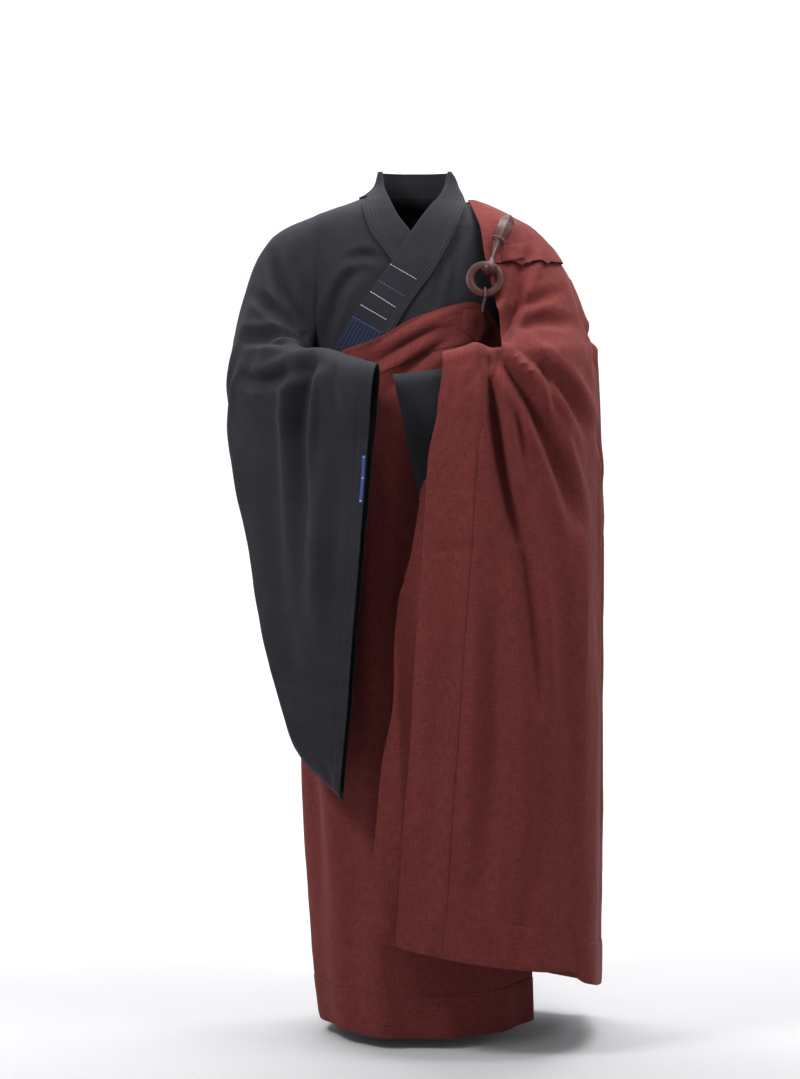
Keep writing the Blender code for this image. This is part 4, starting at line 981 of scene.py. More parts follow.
def sewing_line(first, second, share, beyond=CLOTH + STRIP_LIFT + STRIP_SHELL):
    """A line of places for stitches between two neighbouring runs of a grid: points and normals."""
    points = first[0] * (1 - share) + second[0] * share
    normals = first[1] * (1 - share) + second[1] * share
    return points + normals * beyond, normals


def round_about(sides, side, up):
    """Directions round each place, from its own side and up directions."""
    turn = (2 * np.pi * np.arange(sides) / sides)[None, :, None]
    return np.cos(turn) * side[:, None] + np.sin(turn) * up[:, None]


def stitches(name, runs, look, slot, kind):
    """Short raised stitches along lines of points, all in one piece."""
    length, gap, width = STITCHING[kind]
    t = np.linspace(0, 1, STITCH_RINGS)
    thin = np.sqrt(1 - STITCH_THINNING * (2 * t - 1) ** 2) * width / 2
    step = 0.0005
    made_points = []
    for points, normals in runs:
        along = np.concatenate([[0], np.cumsum(np.linalg.norm(np.diff(points, axis=0), axis=1))])
        starts = np.arange(gap, along[-1] - length, length + gap)
        place = (starts[:, None] + t * length).ravel()
        centre = read_at(place, along, points)
        up = unit(read_at(place, along, normals))
        ahead = read_at(place + step, along, points)
        behind = read_at(place - step, along, points)
        side = unit(np.cross(up, ahead - behind))
        reach = np.tile(thin, len(starts))[:, None, None]
        rings = round_about(STITCH_SIDES, side, up)
        made_points.append((centre[:, None] + rings * reach).reshape(-1, 3))
    points = np.concatenate(made_points)
    block = STITCH_RINGS * STITCH_SIDES
    one, _ = grid_faces(STITCH_RINGS, STITCH_SIDES, True)
    caps = [np.array([[0, 1, 2, 3], [3, 4, 5, 0]])]
    caps.append(block - 1 - caps[0])
    one = np.concatenate([one[:, ::-1]] + caps)
    faces = (one[None] + block * np.arange(len(points) // block)[:, None, None]).reshape(-1, 4)
    return placed(add_mesh(name, points, faces, look), slot)


# A direction that no cord runs along
ODD_WAY = (0.31, 0.17, 0.93)


def cord(name, path, node):
    """A closed loop of laid cord along a path."""
    count = len(path)
    run = unit(np.roll(path, -1, 0) - np.roll(path, 1, 0))
    side = unit(np.cross(run, ODD_WAY))
    turn = 2 * np.pi * np.arange(CORD_SIDES) / CORD_SIDES
    size = plies(np.arange(count)[:, None], turn[None])[..., None]
    points = path[:, None] + size * round_about(CORD_SIDES, side, np.cross(run, side))
    faces, _ = grid_faces(count + 1, CORD_SIDES, True)
    faces = faces % (count * CORD_SIDES)
    return placed(add_mesh(name, points.reshape(-1, 3), faces, "clasp_cord"), "clasp_cord", [node])


# Kasaya

TOP_ROWS = UPPER_ROWS * 3 // 7 + 1
ALL_FOLDS = WRAP_FOLDS + MANTLE_FOLDS + FALL_FOLDS
BORDER_SEWING = []


def kasaya_rows(around):
    """Heights of a kasaya panel: from its top border to the split, to the hem's border, to the hem."""
    top = column(BORDER_LINES, "top", around)
    split = column(BORDER_LINES, "split", around)
    hem = column(BORDER_LINES, "hem", around)
    rows = [split + (top - split) * g for g in np.linspace(1, 0, UPPER_ROWS + 1)]
    rows += [hem + BORDER + (split - hem - BORDER) * f for f in np.linspace(1, 0, LOWER_ROWS + 1)[1:]]
    rows += [hem + BORDER * f for f in np.linspace(1, 0, HEM_ROWS + 1)[1:]]
    return np.stack(rows)


def stretch(start, end, count):
    """The around and height grids of a kasaya panel."""
    columns = np.linspace(start, end, count)
    height = np.stack([kasaya_rows(np.array(a)) for a in columns], 1)
    return np.repeat(columns[None], len(height), 0), height


def sew(points, row=None, col=None):
    """Keeps a line of border stitches midway between a row or column of a grid and the next."""
    normals = grid_normals(points)
    if row is not None:
        pair = [(points[k], normals[k]) for k in (row, row + 1)]
    else:
        pair = [(points[:, k], normals[:, k]) for k in (col, col + 1)]
    BORDER_SEWING.append(sewing_line(*pair, 0.5))


def panel(name, points, solid, hem, hem_columns=None):
    """A panel of the kasaya, with the border on its hem and that border's stitches."""
    cloth(name, points, "kasaya_cloth", [solid])
    low = points[:, :hem_columns]
    strip(hem, low[-HEM_ROWS - 1 :], ["kasaya_" + hem])
    sew(low, row=len(points) - HEM_ROWS - 1)


def wrap():
    """The stretch that winds from the left front under the right arm and up the back."""
    a, h = stretch(WRAP_START, WRAP_RIGHT, WRAP_COLUMNS)
    front = kasaya_face(a, h, WRAP_FOLDS)
    panel("wrap_front", front, "kasaya_front_wrap", "hem_front")
    bordered = front[:, BARE_COLUMNS:]
    strip("top_border_front", bordered[:TOP_ROWS], ["kasaya_top_border_front"])
    sew(bordered, row=TOP_ROWS - 2)
    sew(bordered, row=1)
    a, h = stretch(WRAP_RIGHT, WRAP_BACK_END, BACK_COLUMNS)
    back = kasaya_face(a, h, ALL_FOLDS)
    panel("wrap_back", back, "kasaya_back_wrap", "hem_back")
    strip("top_border_back", back[:TOP_ROWS], ["kasaya_top_border_back"])
    sew(back, row=TOP_ROWS - 2)


def mantle():
    """The stretch over the left shoulder and arm, with the flap that turns down on the shoulder."""
    a, h = stretch(WRAP_BACK_END, SIDE_END, MANTLE_COLUMNS)
    side = kasaya_face(a, h, ALL_FOLDS)
    panel("mantle_side", side, "kasaya_left_side", "hem_side")
    first = round((FLAP_START - WRAP_BACK_END) / (SIDE_END - WRAP_BACK_END) * (MANTLE_COLUMNS - 1))
    a, h = stretch(SIDE_END, VALLEY, MANTLE_COLUMNS)
    lap = FOLD_LAP * falling(h, *FOLD_LAP_HEIGHTS) * falling(a, *FOLD_LAP_AROUND)
    left = pushed(kasaya_face(a, h, ALL_FOLDS), -lap)
    panel("mantle_front", left, "kasaya_left_front", "hem_left_front")
    flap = np.concatenate([side[:TOP_ROWS, first:], left[:TOP_ROWS, 1:]], 1)
    down = np.linspace(0, 1, TOP_ROWS)[:, None] ** 3
    lift = down * (FLAP_LIFT + FLAP_WAVE * soft_noise(flap, *FLAP_CREASES))
    strip("shoulder_flap", flap, ["kasaya_shoulder_flap"], lift)


def fall():
    """The part that falls from the forearm: rolled over it at the top, its free edge bordered."""
    rows = kasaya_rows(np.array(FALL_MIDDLE))[UPPER_ROWS:]
    free = at_across(column(FREE_EDGES, "fall", rows), rows)
    speed = np.linalg.norm(kasaya_base(free, rows) - kasaya_base(free - 1, rows), axis=-1)
    seam = free - BORDER / speed
    start = np.full_like(rows, VALLEY)
    columns = [start + (seam - start) * f for f in np.linspace(0, 1, FALL_COLUMNS)]
    columns += [seam + (free - seam) * f for f in np.linspace(0, 1, FALL_BORDER_COLUMNS + 1)[1:]]
    around = np.stack(columns, 1)
    valley_rows = kasaya_rows(np.array(float(VALLEY)))[UPPER_ROWS:]
    end_rows = kasaya_rows(np.array(FREE_END))[UPPER_ROWS:]
    share = (around - VALLEY) / (free - VALLEY)[:, None]
    height = valley_rows[:, None] * (1 - share) + end_rows[:, None] * share
    points = rolled_over(kasaya_face(around, height, ALL_FOLDS), share[0])
    panel("front_fall", points, "kasaya_front_fall", "hem_fall", FALL_COLUMNS)
    strip("end_border", points[:, FALL_COLUMNS - 1 :], ["kasaya_end_border"])
    sew(points, col=FALL_COLUMNS - 1)
    sew(points, col=len(points[0]) - 3)


def rolled_over(points, share):
    """Rows added at the top that roll the cloth over the forearm, inwards."""
    size = (ROLL_LEAST + ROLL_MORE * smooth(share, 0, 0.3))[:, None]
    rolls = []
    for turn in np.radians(np.linspace(120, 0, ROLL_STEPS, endpoint=False)):
        inward = size * (1 - math.cos(turn)) * np.array([0, 1, 0])
        upward = size * math.sin(turn) * np.array([0, 0, 1])
        rolls.append(points[0] + inward + upward)
    return np.concatenate([rolls, points])


def inner_fall():
    """The fold behind the forearm, from the side's edge to its own free fold."""
    rows = kasaya_rows(np.array(float(SIDE_END)))[UPPER_ROWS:]
    rows = rows[rows < INNER_TOP]
    start = np.full_like(rows, SIDE_END)
    tucked = INNER_TUCK * smooth(rows, INNER_TOP - INNER_TUCK_HEIGHT, INNER_TOP)
    free = at_across(column(FREE_EDGES, "inner", rows) + tucked, rows)
    shares = np.linspace(0, 1, INNER_COLUMNS)
    around = start[:, None] + (free - start)[:, None] * shares
    low = rows[-1] + (INNER_LOW - rows[-1]) * shares
    height = rows[0] + (rows[:, None] - rows[0]) * (rows[0] - low) / (rows[0] - rows[-1])
    points = kasaya_face(around, height, ALL_FOLDS)
    begin = INNER_BEGIN * smooth(height, *INNER_BEGIN_HEIGHTS)
    inset = begin + (INNER_DEPTH - begin) * smooth(around, SIDE_END + 3, INNER_DEEP_AT)
    points = pushed(points, inset - INNER_STANDS_OFF * smooth(around, SIDE_END + 4, SIDE_END + 20))
    points = pushed(points, fold_depth(points, grid_normals(points), INNER_FOLDS))
    panel("inner_fall", points, "kasaya_inner_fall", "hem_inner")


def kasaya():
    wrap()
    mantle()
    fall()
    inner_fall()
    stitches("border_stitches", BORDER_SEWING, "russet_thread", "kasaya_cloth", "border")


# Under robe


def armhole_heights(left):
    """Heights up the armhole, from the armpit to the shoulder's ridge."""
    name = "left" if left else "right"
    levels = np.linspace(1.16, 1.34, 400)
    half = column(BODY_SECTIONS, name, levels)
    top = levels[np.nonzero(half > ARMHOLE)[0][-1]]
    return ARMPIT + (top - ARMPIT) * np.sin(np.linspace(0, np.pi / 2, ARMHOLE_ROWS))


def armhole_angle(height, left):
    """The front around angle where the under robe reaches the armhole's plane."""
    side = 1 if left else -1
    return body_angle(np.full_like(height, side * ARMHOLE), height)


def body_face(around, height):
    """The under robe's outer face with its folds, and its normals."""
    points = body_base(around, height)
    normals = normal_of(body_base, around, height)
    depth = fold_depth(points, normals, BODY_FOLDS) + creases(points, BODY_CREASES)
    return points - normals * depth[..., None], normals


def side_angle(rows, shoulder, left):
    """The front around angle of a panel's side: down the shoulder, the armhole and the side seam."""
    angle = np.where(rows >= ARMPIT - NEARLY, armhole_angle(rows, left), 0.0 if left else 180.0)
    return np.where(rows > shoulder - NEARLY, -SHOULDER_LAP if left else 180.0 + SHOULDER_LAP, angle)


def front_panel(name, left, solid):
    """One front: from the centre's overlap to the side seam, with its neckline and armhole."""
    arm = armhole_heights(left)
    neck = np.linspace(NECK_LOW["left" if left else "right"], PANEL_TOP, NECK_ROWS)[1:]
    neck = neck[neck > arm[-1] + 1e-4]
    rows = np.concatenate([neck[::-1], arm[::-1], BODY_LOW_ROWS])
    side = side_angle(rows, arm[-1], left)
    table = np.array(OVER_BAND if left else UNDER_BAND)[::-1]
    across = np.interp(rows, (table[:, 1] + table[:, 3]) / 2, (table[:, 0] + table[:, 2]) / 2)
    edge = body_angle(across, rows)
    overlap = OVERLAPS["left" if left else "right"]
    lowest = table[0, 1]
    edge = overlap + (edge - overlap) * smooth(rows, lowest - OVERLAP_BLEND, lowest)
    around = side[:, None] + (edge - side)[:, None] * np.linspace(0, 1, BODY_COLUMNS)
    around[rows < ARMPIT - 0.005, 0] += 0.2 if left else -0.2
    height = np.repeat(rows[:, None], BODY_COLUMNS, 1)
    points, normals = body_face(around, height)
    outer = points + normals * (OVERLAY if left else 0.0)
    sheet(name, outer, outer - normals * SHELL, "haiqing_cloth", [solid])


def back_panel():
    """The back in one width, from armhole to armhole."""
    right, left = armhole_heights(False), armhole_heights(True)
    rows_right, rows_left = (
        np.concatenate([np.linspace(PANEL_TOP, arm[-1], BACK_NECK_ROWS)[:-1], arm[::-1], BODY_LOW_ROWS])
        for arm in (right, left)
    )
    begin = 360 - side_angle(rows_right, right[-1], False)
    end = 360 - side_angle(rows_left, left[-1], True)
    shares = np.linspace(0, 1, BACK_PANEL_COLUMNS)
    around = begin[:, None] + (end - begin)[:, None] * shares
    height = rows_right[:, None] * (1 - shares) + rows_left[:, None] * shares
    points, normals = body_face(around, height)
    sheet("robe_back", points, points - normals * SHELL, "haiqing_cloth", ["haiqing_back"])


def band_place(rows, place, share, lift):
    """Points and normals of a collar band at places along it and shares across it."""
    table = np.array(rows)
    knots = np.arange(len(rows), dtype=float)
    inner, inner_h, outer, outer_h = (through(knots, table[:, k], place) for k in range(4))
    height = inner_h * (1 - share) + outer_h * share
    across = inner * (1 - share) + outer * share
    around = body_angle(across, height)
    points, normals = body_face(around, height)
    return points + normals * np.asarray(lift)[..., None], normals


def band(name, rows, lift, count, sewn_at, solid):
    """A collar band with lines of quilting sunk into it along its outer edge."""
    place, share = np.meshgrid(np.linspace(0, len(rows) - 1, count), np.linspace(0, 1, BAND_COLUMNS))
    place, share = place.T, share.T
    outer, normals = band_place(rows, place, share, lift + COLLAR_WALL)
    width = lengths(outer, 1)[:, -1:]
    sunk = sum(np.exp(-(((share - 1) * width + at) / QUILT_WIDTH) ** 2) for at in sewn_at)
    edge = np.exp(-np.minimum(share, 1 - share) * width / BAND_EDGE_WIDTH)
    outer = outer - normals * (QUILT_DEPTH * sunk + BAND_EDGE_DEPTH * edge)[..., None]
    inner = band_place(rows, place, share, lift + BAND_INNER_LIFT)[0]
    sheet(name, outer, inner, "haiqing_cloth", [solid])
    runs = []
    for at in sewn_at:
        share_at = 1 - at / width[:, 0]
        runs.append(band_place(rows, place[:, 0], share_at, lift + COLLAR_WALL - BAND_THREAD_SUNK))
    return runs


def cross_line(line, colour):
    """A run of stitches across the over band."""
    share = np.linspace(0, line["reach"], 30)
    place = line["inner"] + (line["outer"] - line["inner"]) * share / line["reach"]
    lift = OVERLAY + BAND_LIFT + COLLAR_WALL
    return band_place(OVER_BAND, place, share, lift) if line["thread"] == colour else None


def guard_panel():
    """The quilted guard at the over band's lower end, with its blue stripes along the band."""
    columns = GUARD_STRIPES * GUARD_STEPS + 1
    share, place = np.meshgrid(np.linspace(*GUARD_REACH, columns), np.linspace(0, 1, GUARD_ROWS))
    slant = GUARD_START["outer"] - GUARD_START["inner"]
    first = GUARD_START["inner"] + slant * share / GUARD_REACH[1]
    place = first + (len(OVER_BAND) - 1 - first) * place
    low, normals = band_place(OVER_BAND, place, share, OVERLAY + BAND_LIFT + COLLAR_WALL + 0.0001)
    turn = np.linspace(0, GUARD_STRIPES, columns)
    ribs = RIB_LOW + RIB_RISE * np.abs(np.sin(np.pi * turn)) ** RIB_ROUNDING
    outer = low + normals * ribs[None, :, None]
    made = sheet("guard_panel", outer, low, "guard_cloth")
    made.data.materials.append(material("haiqing_cloth"))
    steps = columns - 1
    step = np.arange((GUARD_ROWS - 1) * steps) % steps % GUARD_STEPS
    dark = np.where((step >= 2) & (step < GUARD_STEPS - 2), 0, 1)
    slots = np.zeros(len(made.data.polygons), np.int32)
    slots[: len(dark)] = dark
    made.data.polygons.foreach_set("material_index", slots)


def band_reach(rows, height):
    """How far across a band's inner edge is at a height, a little inside it."""
    table = np.array(rows)[:5]
    return np.interp(-height, -table[:, 1], table[:, 0])


def collar_back_places():
    """The band behind the neck: its ends run under the front bands as far as their inner edges."""
    share, down = np.meshgrid(
        np.linspace(0, 1, COLLAR_BACK_COLUMNS), np.linspace(0, 1, COLLAR_BACK_ROWS)
    )
    ends = smooth(np.minimum(share, 1 - share), 0, COLLAR_END_SHARE)
    low = BACK_SHELL_LOW + COLLAR_END_RISE * (1 - ends)
    height = BACK_COLLAR_TOP * (1 - down) + low * down
    right = body_angle(band_reach(UNDER_BAND, height) - COLLAR_END_TUCK, height)
    left = 360 + body_angle(band_reach(OVER_BAND, height) + COLLAR_END_TUCK, height)
    return right * (1 - share) + left * share, height


def collar():
    """Both front bands, the band behind the neck, the guard and the lines sewn across."""
    over = OVERLAY + BAND_LIFT
    under_band = ("collar_under_band", UNDER_BAND, BAND_LIFT, UNDER_ROWS, UNDER_SEWING)
    over_band = ("collar_over_band", OVER_BAND, over, OVER_ROWS, OVER_SEWING)
    runs = band(*under_band, "haiqing_collar_right")
    runs += band(*over_band, "haiqing_collar_left")
    around, height = collar_back_places()
    points, normals = body_face(around, height)
    outer = points + normals * (COLLAR_BACK_LIFT + COLLAR_BACK_WALL)
    inner = points + normals * COLLAR_BACK_LIFT
    sheet("collar_back", outer, inner, "haiqing_cloth", ["haiqing_collar_back"])
    patch_place, patch_share = (np.array(side) for side in PATCH_LINE)
    runs.append(band_place(OVER_BAND, patch_place, patch_share, over + COLLAR_WALL))
    stitches("collar_stitches", runs, "black_thread", "haiqing_cloth", "collar")
    rows = [dict(zip(CROSS_LINES["columns"], row)) for row in CROSS_LINES["rows"]]
    for colour in ("white_thread", "blue_thread"):
        across = [run for run in (cross_line(row, colour) for row in rows) if run]
        stitches(colour + "_lines", across, colour, "stitch_thread", "cross_line")
    guard_panel()


def armhole_ring(left):
    """The armhole's edge on the under robe, from the armpit up the front and down the back."""
    level = armhole_heights(left)
    angle = armhole_angle(level, left)
    angle[[0, -1]] = 0.0 if left else 180.0
    level = np.concatenate([level, level[-2:0:-1]])
    angle = np.concatenate([angle, 360 - angle[-2:0:-1]])
    points, normals = body_face(angle, level)
    lift = OVERLAY * (np.arange(len(level)) < ARMHOLE_ROWS) if left else np.zeros(len(level))
    return points + normals * lift[:, None]


def sleeve_rings(rows, left):
    """Closed rings of points: the first is the body's armhole, the rest follow the table."""
    table = [dict(zip(SLEEVE_COLUMNS, row)) for row in rows]
    inner = np.array([[r["inner_x"], r["inner_y"], r["inner_h"]] for r in table])
    outer = np.array([[r["outer_x"], r["outer_y"], r["outer_h"]] for r in table])
    half = ARMHOLE_ROWS - 1
    share = (1 - np.cos(np.pi * np.arange(half + 1) / half)) / 2
    side = 1 if left else -1
    rings = []
    for k, row in enumerate(table):
        before, after = max(k - 1, 0), min(k + 1, len(table) - 1)
        advance = (
            (inner[after] - inner[before])[None] * (1 - share[:, None])
            + (outer[after] - outer[before])[None] * share[:, None]
        )
        reach = outer[k] - inner[k]
        length = np.linalg.norm(reach)
        to_front = max(0, ARM_TURN - ARM_TURN_FALL * k) + max(0, CUFF_TURN * (k - CUFF_TURN_FROM))
        facing = unit(unit(np.cross(advance, reach) * side) + to_front * np.array([0, -1, 0]))
        bulge = np.exp(-(((share - row["arm_place"]) * length / ARM_WIDTH) ** 2))
        thick = row["flat"] + (row["arm"] - row["flat"]) * bulge
        ends = np.minimum(share, 1 - share) * length / thick
        thick = thick * np.sqrt(1 - (1 - np.clip(ends, 0, 1)) ** 2)
        middle = inner[k] + reach * share[:, None]
        near = middle + facing * thick[:, None]
        far = middle - facing * thick[:, None]
        rings.append(np.concatenate([near, far[-2:0:-1]]))
    return np.array([armhole_ring(left)] + rings)


def loft(rings, count):
    """Rings at even steps along smooth curves through the given rings."""
    padded = np.concatenate([[2 * rings[0] - rings[1]], rings, [2 * rings[-1] - rings[-2]]])
    made = []
    for place in np.linspace(0, len(rings) - 1, count):
        k = min(int(place), len(rings) - 2)
        made.append(between(*padded[k : k + 4], place - k))
    return np.array(made)


def outward(points):
    """Normals of a tube's grid, pointing away from its middle."""
    normals = grid_normals(points, tube=True)
    centre = points.mean(axis=1, keepdims=True)
    if ((points - centre) * normals).sum() < 0:
        normals = -normals
    return normals


def sleeve(name, rows, left, count, folds, solid):
    """A sleeve's shell with its folds, creases and sunken cuff seam, and where its cuff lies."""
    points = loft(sleeve_rings(rows, left), count)
    normals = outward(points)
    along = smooth(np.arange(count) / count, 0, SLEEVE_FREE_FROM)[:, None]
    depth = fold_depth(points, normals, folds) + creases(points, SLEEVE_CREASES)
    points = points - normals * (depth * along)[..., None]
    to_cuff = lengths(points[::-1], 0)[::-1]
    seam = CUFF_SEAM_DEPTH * np.exp(-(((to_cuff - CUFF_HEM) / CUFF_SEAM_WIDTH) ** 2))
    points = points - normals * seam[..., None]
    normals = outward(points)
    sheet(name, points, points - normals * SHELL, "haiqing_cloth", [solid], tube=True)
    return points, normals, to_cuff


def at_cuff(points, normals, to_cuff, distance):
    """The places on a sleeve's grid at a distance from its cuff, one for each line of the grid."""
    cols = np.arange(points.shape[1])
    rows = np.array([np.interp(-distance, -to_cuff[:, j], np.arange(len(points))) for j in cols])
    low = np.minimum(rows.astype(int), len(points) - 2)
    part = (rows - low)[:, None]
    return tuple(g[low, cols] * (1 - part) + g[low + 1, cols] * part for g in (points, normals))


def cuff_details(points, normals, to_cuff):
    """The cuff's stitches, and the blue ribbon at its near edge with its white bar tacks."""
    hem = at_cuff(points, normals, to_cuff, CUFF_HEM)
    stitches("cuff_stitches", [hem], "black_thread", "haiqing_cloth", "cuff")
    near = slice(2, ARMHOLE_ROWS - 2)
    heights = np.linspace(RIBBON_TOP, RIBBON_LOW, RIBBON_ROWS)
    lines = []
    for distance in np.linspace(RIBBON_EDGE, RIBBON_EDGE + RIBBON_WIDTH, RIBBON_COLUMNS):
        p, n = (side[near] for side in at_cuff(points, normals, to_cuff, distance))
        lines.append([read_at(-heights, -p[:, 2], grid) for grid in (p, n)])
    places, ways = (np.stack(side, 1) for side in zip(*lines))
    outer, inner = places + ways * (RIBBON_LIFT + RIBBON_WALL), places + ways * RIBBON_LIFT
    ribbon, _, area = shell("cuff_ribbon", outer, inner, "ribbon_blue", "stitch_thread")
    tacks = [(places[i] + ways[i] * TACK_LIFT, ways[i]) for i in TACK_ROWS]
    stitches("ribbon_tacks", tacks, "white_thread", "stitch_thread", "tack")


def under_robe():
    front_panel("robe_front_right", False, "haiqing_front_right")
    front_panel("robe_front_left", True, "haiqing_front_left")
    back_panel()
    collar()
    right = ("sleeve_right", RIGHT_SLEEVE, False, RIGHT_SLEEVE_ROWS, SLEEVE_FOLDS)
    cuff_details(*sleeve(*right, "haiqing_sleeve_right"))
    sleeve("sleeve_left", LEFT_SLEEVE, True, LEFT_SLEEVE_ROWS, [], "haiqing_sleeve_left")


# Clasp


def tilted(points):
    """Points of the ring's own plane, leant back so that it lies on the slope of the chest."""
    c, s = math.cos(math.radians(RING_TILT)), math.sin(math.radians(RING_TILT))
    y = points[..., 1] * c + points[..., 2] * s
    z = points[..., 2] * c - points[..., 1] * s
    return np.stack([points[..., 0], y, z], -1)


def wooden(name, grid, nodes=()):
    """A turned or carved piece of wood from a grid of rings."""
    faces, _ = grid_faces(*grid.shape[:2], True)
    placed(add_mesh(name, grid.reshape(-1, 3), faces, "clasp_wood"), "clasp_wood", nodes)


def rounded(angle, power):
    """The cosine and sine of angles, squared off or drawn in by a power of their size."""
    return tuple(np.sign(side) * np.abs(side) ** power for side in (np.cos(angle), np.sin(angle)))


def ring():
    """The flat turned ring, slightly domed, with its edges eased."""
    middle, half = (RING_OUTER + RING_HOLE) / 4, (RING_OUTER - RING_HOLE) / 4
    turn = np.linspace(0, 2 * np.pi, 121)[:, None]
    tilt = np.radians(np.arange(0, 360, WOOD_TURN))[None]
    out = middle + half * rounded(tilt, RING_FLATNESS)[0]
    rise = RING_THICK / 2 * rounded(tilt, RING_EASE)[1]
    rise = rise * (1 - RING_DOME * ((out - middle) / half) ** 2)
    grid = np.stack([out * np.cos(turn), rise * np.ones_like(turn), out * np.sin(turn)], -1)
    wooden("ring", tilted(grid)[:, ::-1] + np.array(RING_CENTRE), ["clasp_ring"])


def hook():
    """The hook: a knob, a thin neck, and a paddle carved with a ridge down its middle."""
    rows = np.array(HOOK_SECTIONS["rows"])
    knots = np.arange(len(rows), dtype=float)
    place = np.linspace(0, len(rows) - 1, HOOK_RINGS)
    line = np.stack([through(knots, rows[:, k], place) for k in range(3)], -1)
    wide_at, thick_at = (through(knots, rows[:, k], place) for k in (3, 4))
    run = unit(np.gradient(line, axis=0))
    wide = unit(np.cross(run, [0, -1, 0]))
    deep = np.cross(wide, run)
    turn = np.radians(np.arange(0, 360, WOOD_TURN))
    out, up = rounded(turn[None], 1 + PADDLE_RIDGE * smooth(place, *PADDLE_FROM)[:, None])
    across, rise = out * wide_at[:, None], up * thick_at[:, None]
    grid = line[:, None] + across[..., None] * wide[:, None] + rise[..., None] * deep[:, None]
    ends = [np.repeat(grid[k : k + 1].mean(1, keepdims=True), len(turn), 1) for k in (0, -1)]
    wooden("hook_paddle", np.concatenate([ends[0], grid, ends[1]]), ["clasp_hook"])
    ball = np.linspace(0, np.pi, KNOB_RINGS)[:, None]
    turn = np.linspace(0, 2 * np.pi, KNOB_SIDES, endpoint=False)[None]
    facets = KNOB_FACET_DEPTH * np.cos(KNOB_FACETS * turn) * np.sin(ball) ** 2
    girth = np.sin(ball)
    globe = np.stack([girth * np.cos(turn), -np.cos(ball) * np.ones_like(turn), girth * np.sin(turn)], -1)
    wooden("hook_knob", globe * (KNOB_RADIUS * (1 - facets))[..., None] + np.array(KNOB_CENTRE))


def plies(place, turn):
    """The radius of a cord of two plies laid together."""
    return LOOP_CORD * (PLY_LEAST + PLY_SWELL * np.abs(np.cos(turn - PLY_TWIST * place)))


def finer(path):
    """A closed path through the same points with more of them."""
    path = np.array(path)
    place = np.arange(len(path) * CORD_STEPS) / CORD_STEPS
    k = place.astype(int)
    near = (path[(k + shift) % len(path)] for shift in (-1, 0, 1, 2))
    return between(*near, (place - k)[:, None])


def cord_loops():
    """The cord loop from the ring to its tab, and the one that ties the hook to its own."""
    middle = (RING_OUTER + RING_HOLE) / 4
    bar = np.array(RING_CENTRE) + tilted(np.array([0, 0, -middle]))
    towards = unit(np.array(RING_LOOP_TOWARDS))
    across = unit(np.cross([1, 0, 0], towards))
    path = []
    for t in np.radians(np.linspace(-RING_LOOP_TURN, RING_LOOP_TURN, 15)):
        place = RING_LOOP_SLACK - RING_LOOP_RADIUS * math.cos(t)
        path.append(bar + place * towards + RING_LOOP_RADIUS * math.sin(t) * across)
    for place, aside in RING_LOOP_END:
        path.append(bar + place * towards + aside * across)
    cord("ring_loop", finer(path), "clasp_ring_loop")
    run = unit(np.array(HOOK_LOOP["facing"]))
    wide = unit(np.cross(run, [0, -1, 0]))
    deep = np.cross(wide, run)
    path = []
    for t in np.radians(np.arange(0, 360, 20)):
        aside = HOOK_LOOP["half_width"] * math.cos(t)
        depth = HOOK_LOOP["front" if math.sin(t) > 0 else "back"] * math.sin(t)
        path.append(np.array(HOOK_LOOP["centre"]) + wide * aside + deep * depth)
    cord("hook_loop", finer(path), "clasp_hook_loop")


def tab(name, outline, carriers, solid):
    """A folded cloth tab sewn on its carriers: a top edge, and a lower edge with a point."""
    top = np.array(outline["top"], float)
    low = np.array(outline["low"], float)
    u = np.linspace(0, 1, TAB_STEPS)
    above = top[0] + (top[1] - top[0]) * u[:, None]
    below = read_at(u, np.linspace(0, 1, len(low)), low)
    v = u[:, None, None]
    flat = above[None] * (1 - v) + below[None] * v
    trees = []
    for carrier in carriers:
        mesh = bpy.data.objects[carrier].data
        corners = [x.co for x in mesh.vertices]
        trees.append(BVHTree.FromPolygons(corners, [tuple(p.vertices) for p in mesh.polygons]))
    facing = Vector((0, 1, 0))
    seat = np.zeros((*flat.shape[:2], 3))
    for i, j in np.ndindex(*flat.shape[:2]):
        start = Vector((flat[i, j, 0], IN_FRONT, flat[i, j, 1] - SHOULDER_HEIGHT))
        hits = [tree.ray_cast(start, facing) for tree in trees]
        seat[i, j] = min((hit for hit in hits if hit[0] is not None), key=lambda hit: hit[3])[0]
    seat[..., 2] += SHOULDER_HEIGHT
    for _ in range(TAB_SMOOTHING):
        seat[1:-1, 1:-1] = (
            seat[1:-1, 1:-1] * 2 + seat[:-2, 1:-1] + seat[2:, 1:-1] + seat[1:-1, :-2] + seat[1:-1, 2:]
        ) / 6
    normals = grid_normals(seat)
    if normals[..., 1].mean() > 0:
        normals = -normals
    edge = from_edge(TAB_STEPS, TAB_STEPS)
    sewn = np.exp(-((edge - TAB_SEWN) ** 2.0))
    puff = TAB_THICK * (1 - TAB_EDGE * np.exp(-edge)) - TAB_SUNK * sewn
    low_face = seat + normals * TAB_LIFT
    sheet(name, low_face + normals * puff[..., None], low_face, "kasaya_cloth", [solid])
    near, far = TAB_SEWN, TAB_STEPS - 1 - TAB_SEWN
    there = range(near, far + 1)
    rim = [(k, near) for k in there] + [(far, k) for k in there]
    rim += [(k, far) for k in there[::-1]] + [(near, k) for k in there[::-1]]
    rows, cols = np.array(rim).T
    ways = normals[rows, cols]
    line = seat[rows, cols] + ways * (TAB_LIFT + TAB_THICK - TAB_THREAD_SUNK)
    stitches(name + "_stitches", [(line, ways)], "russet_thread", "kasaya_cloth", "tab")


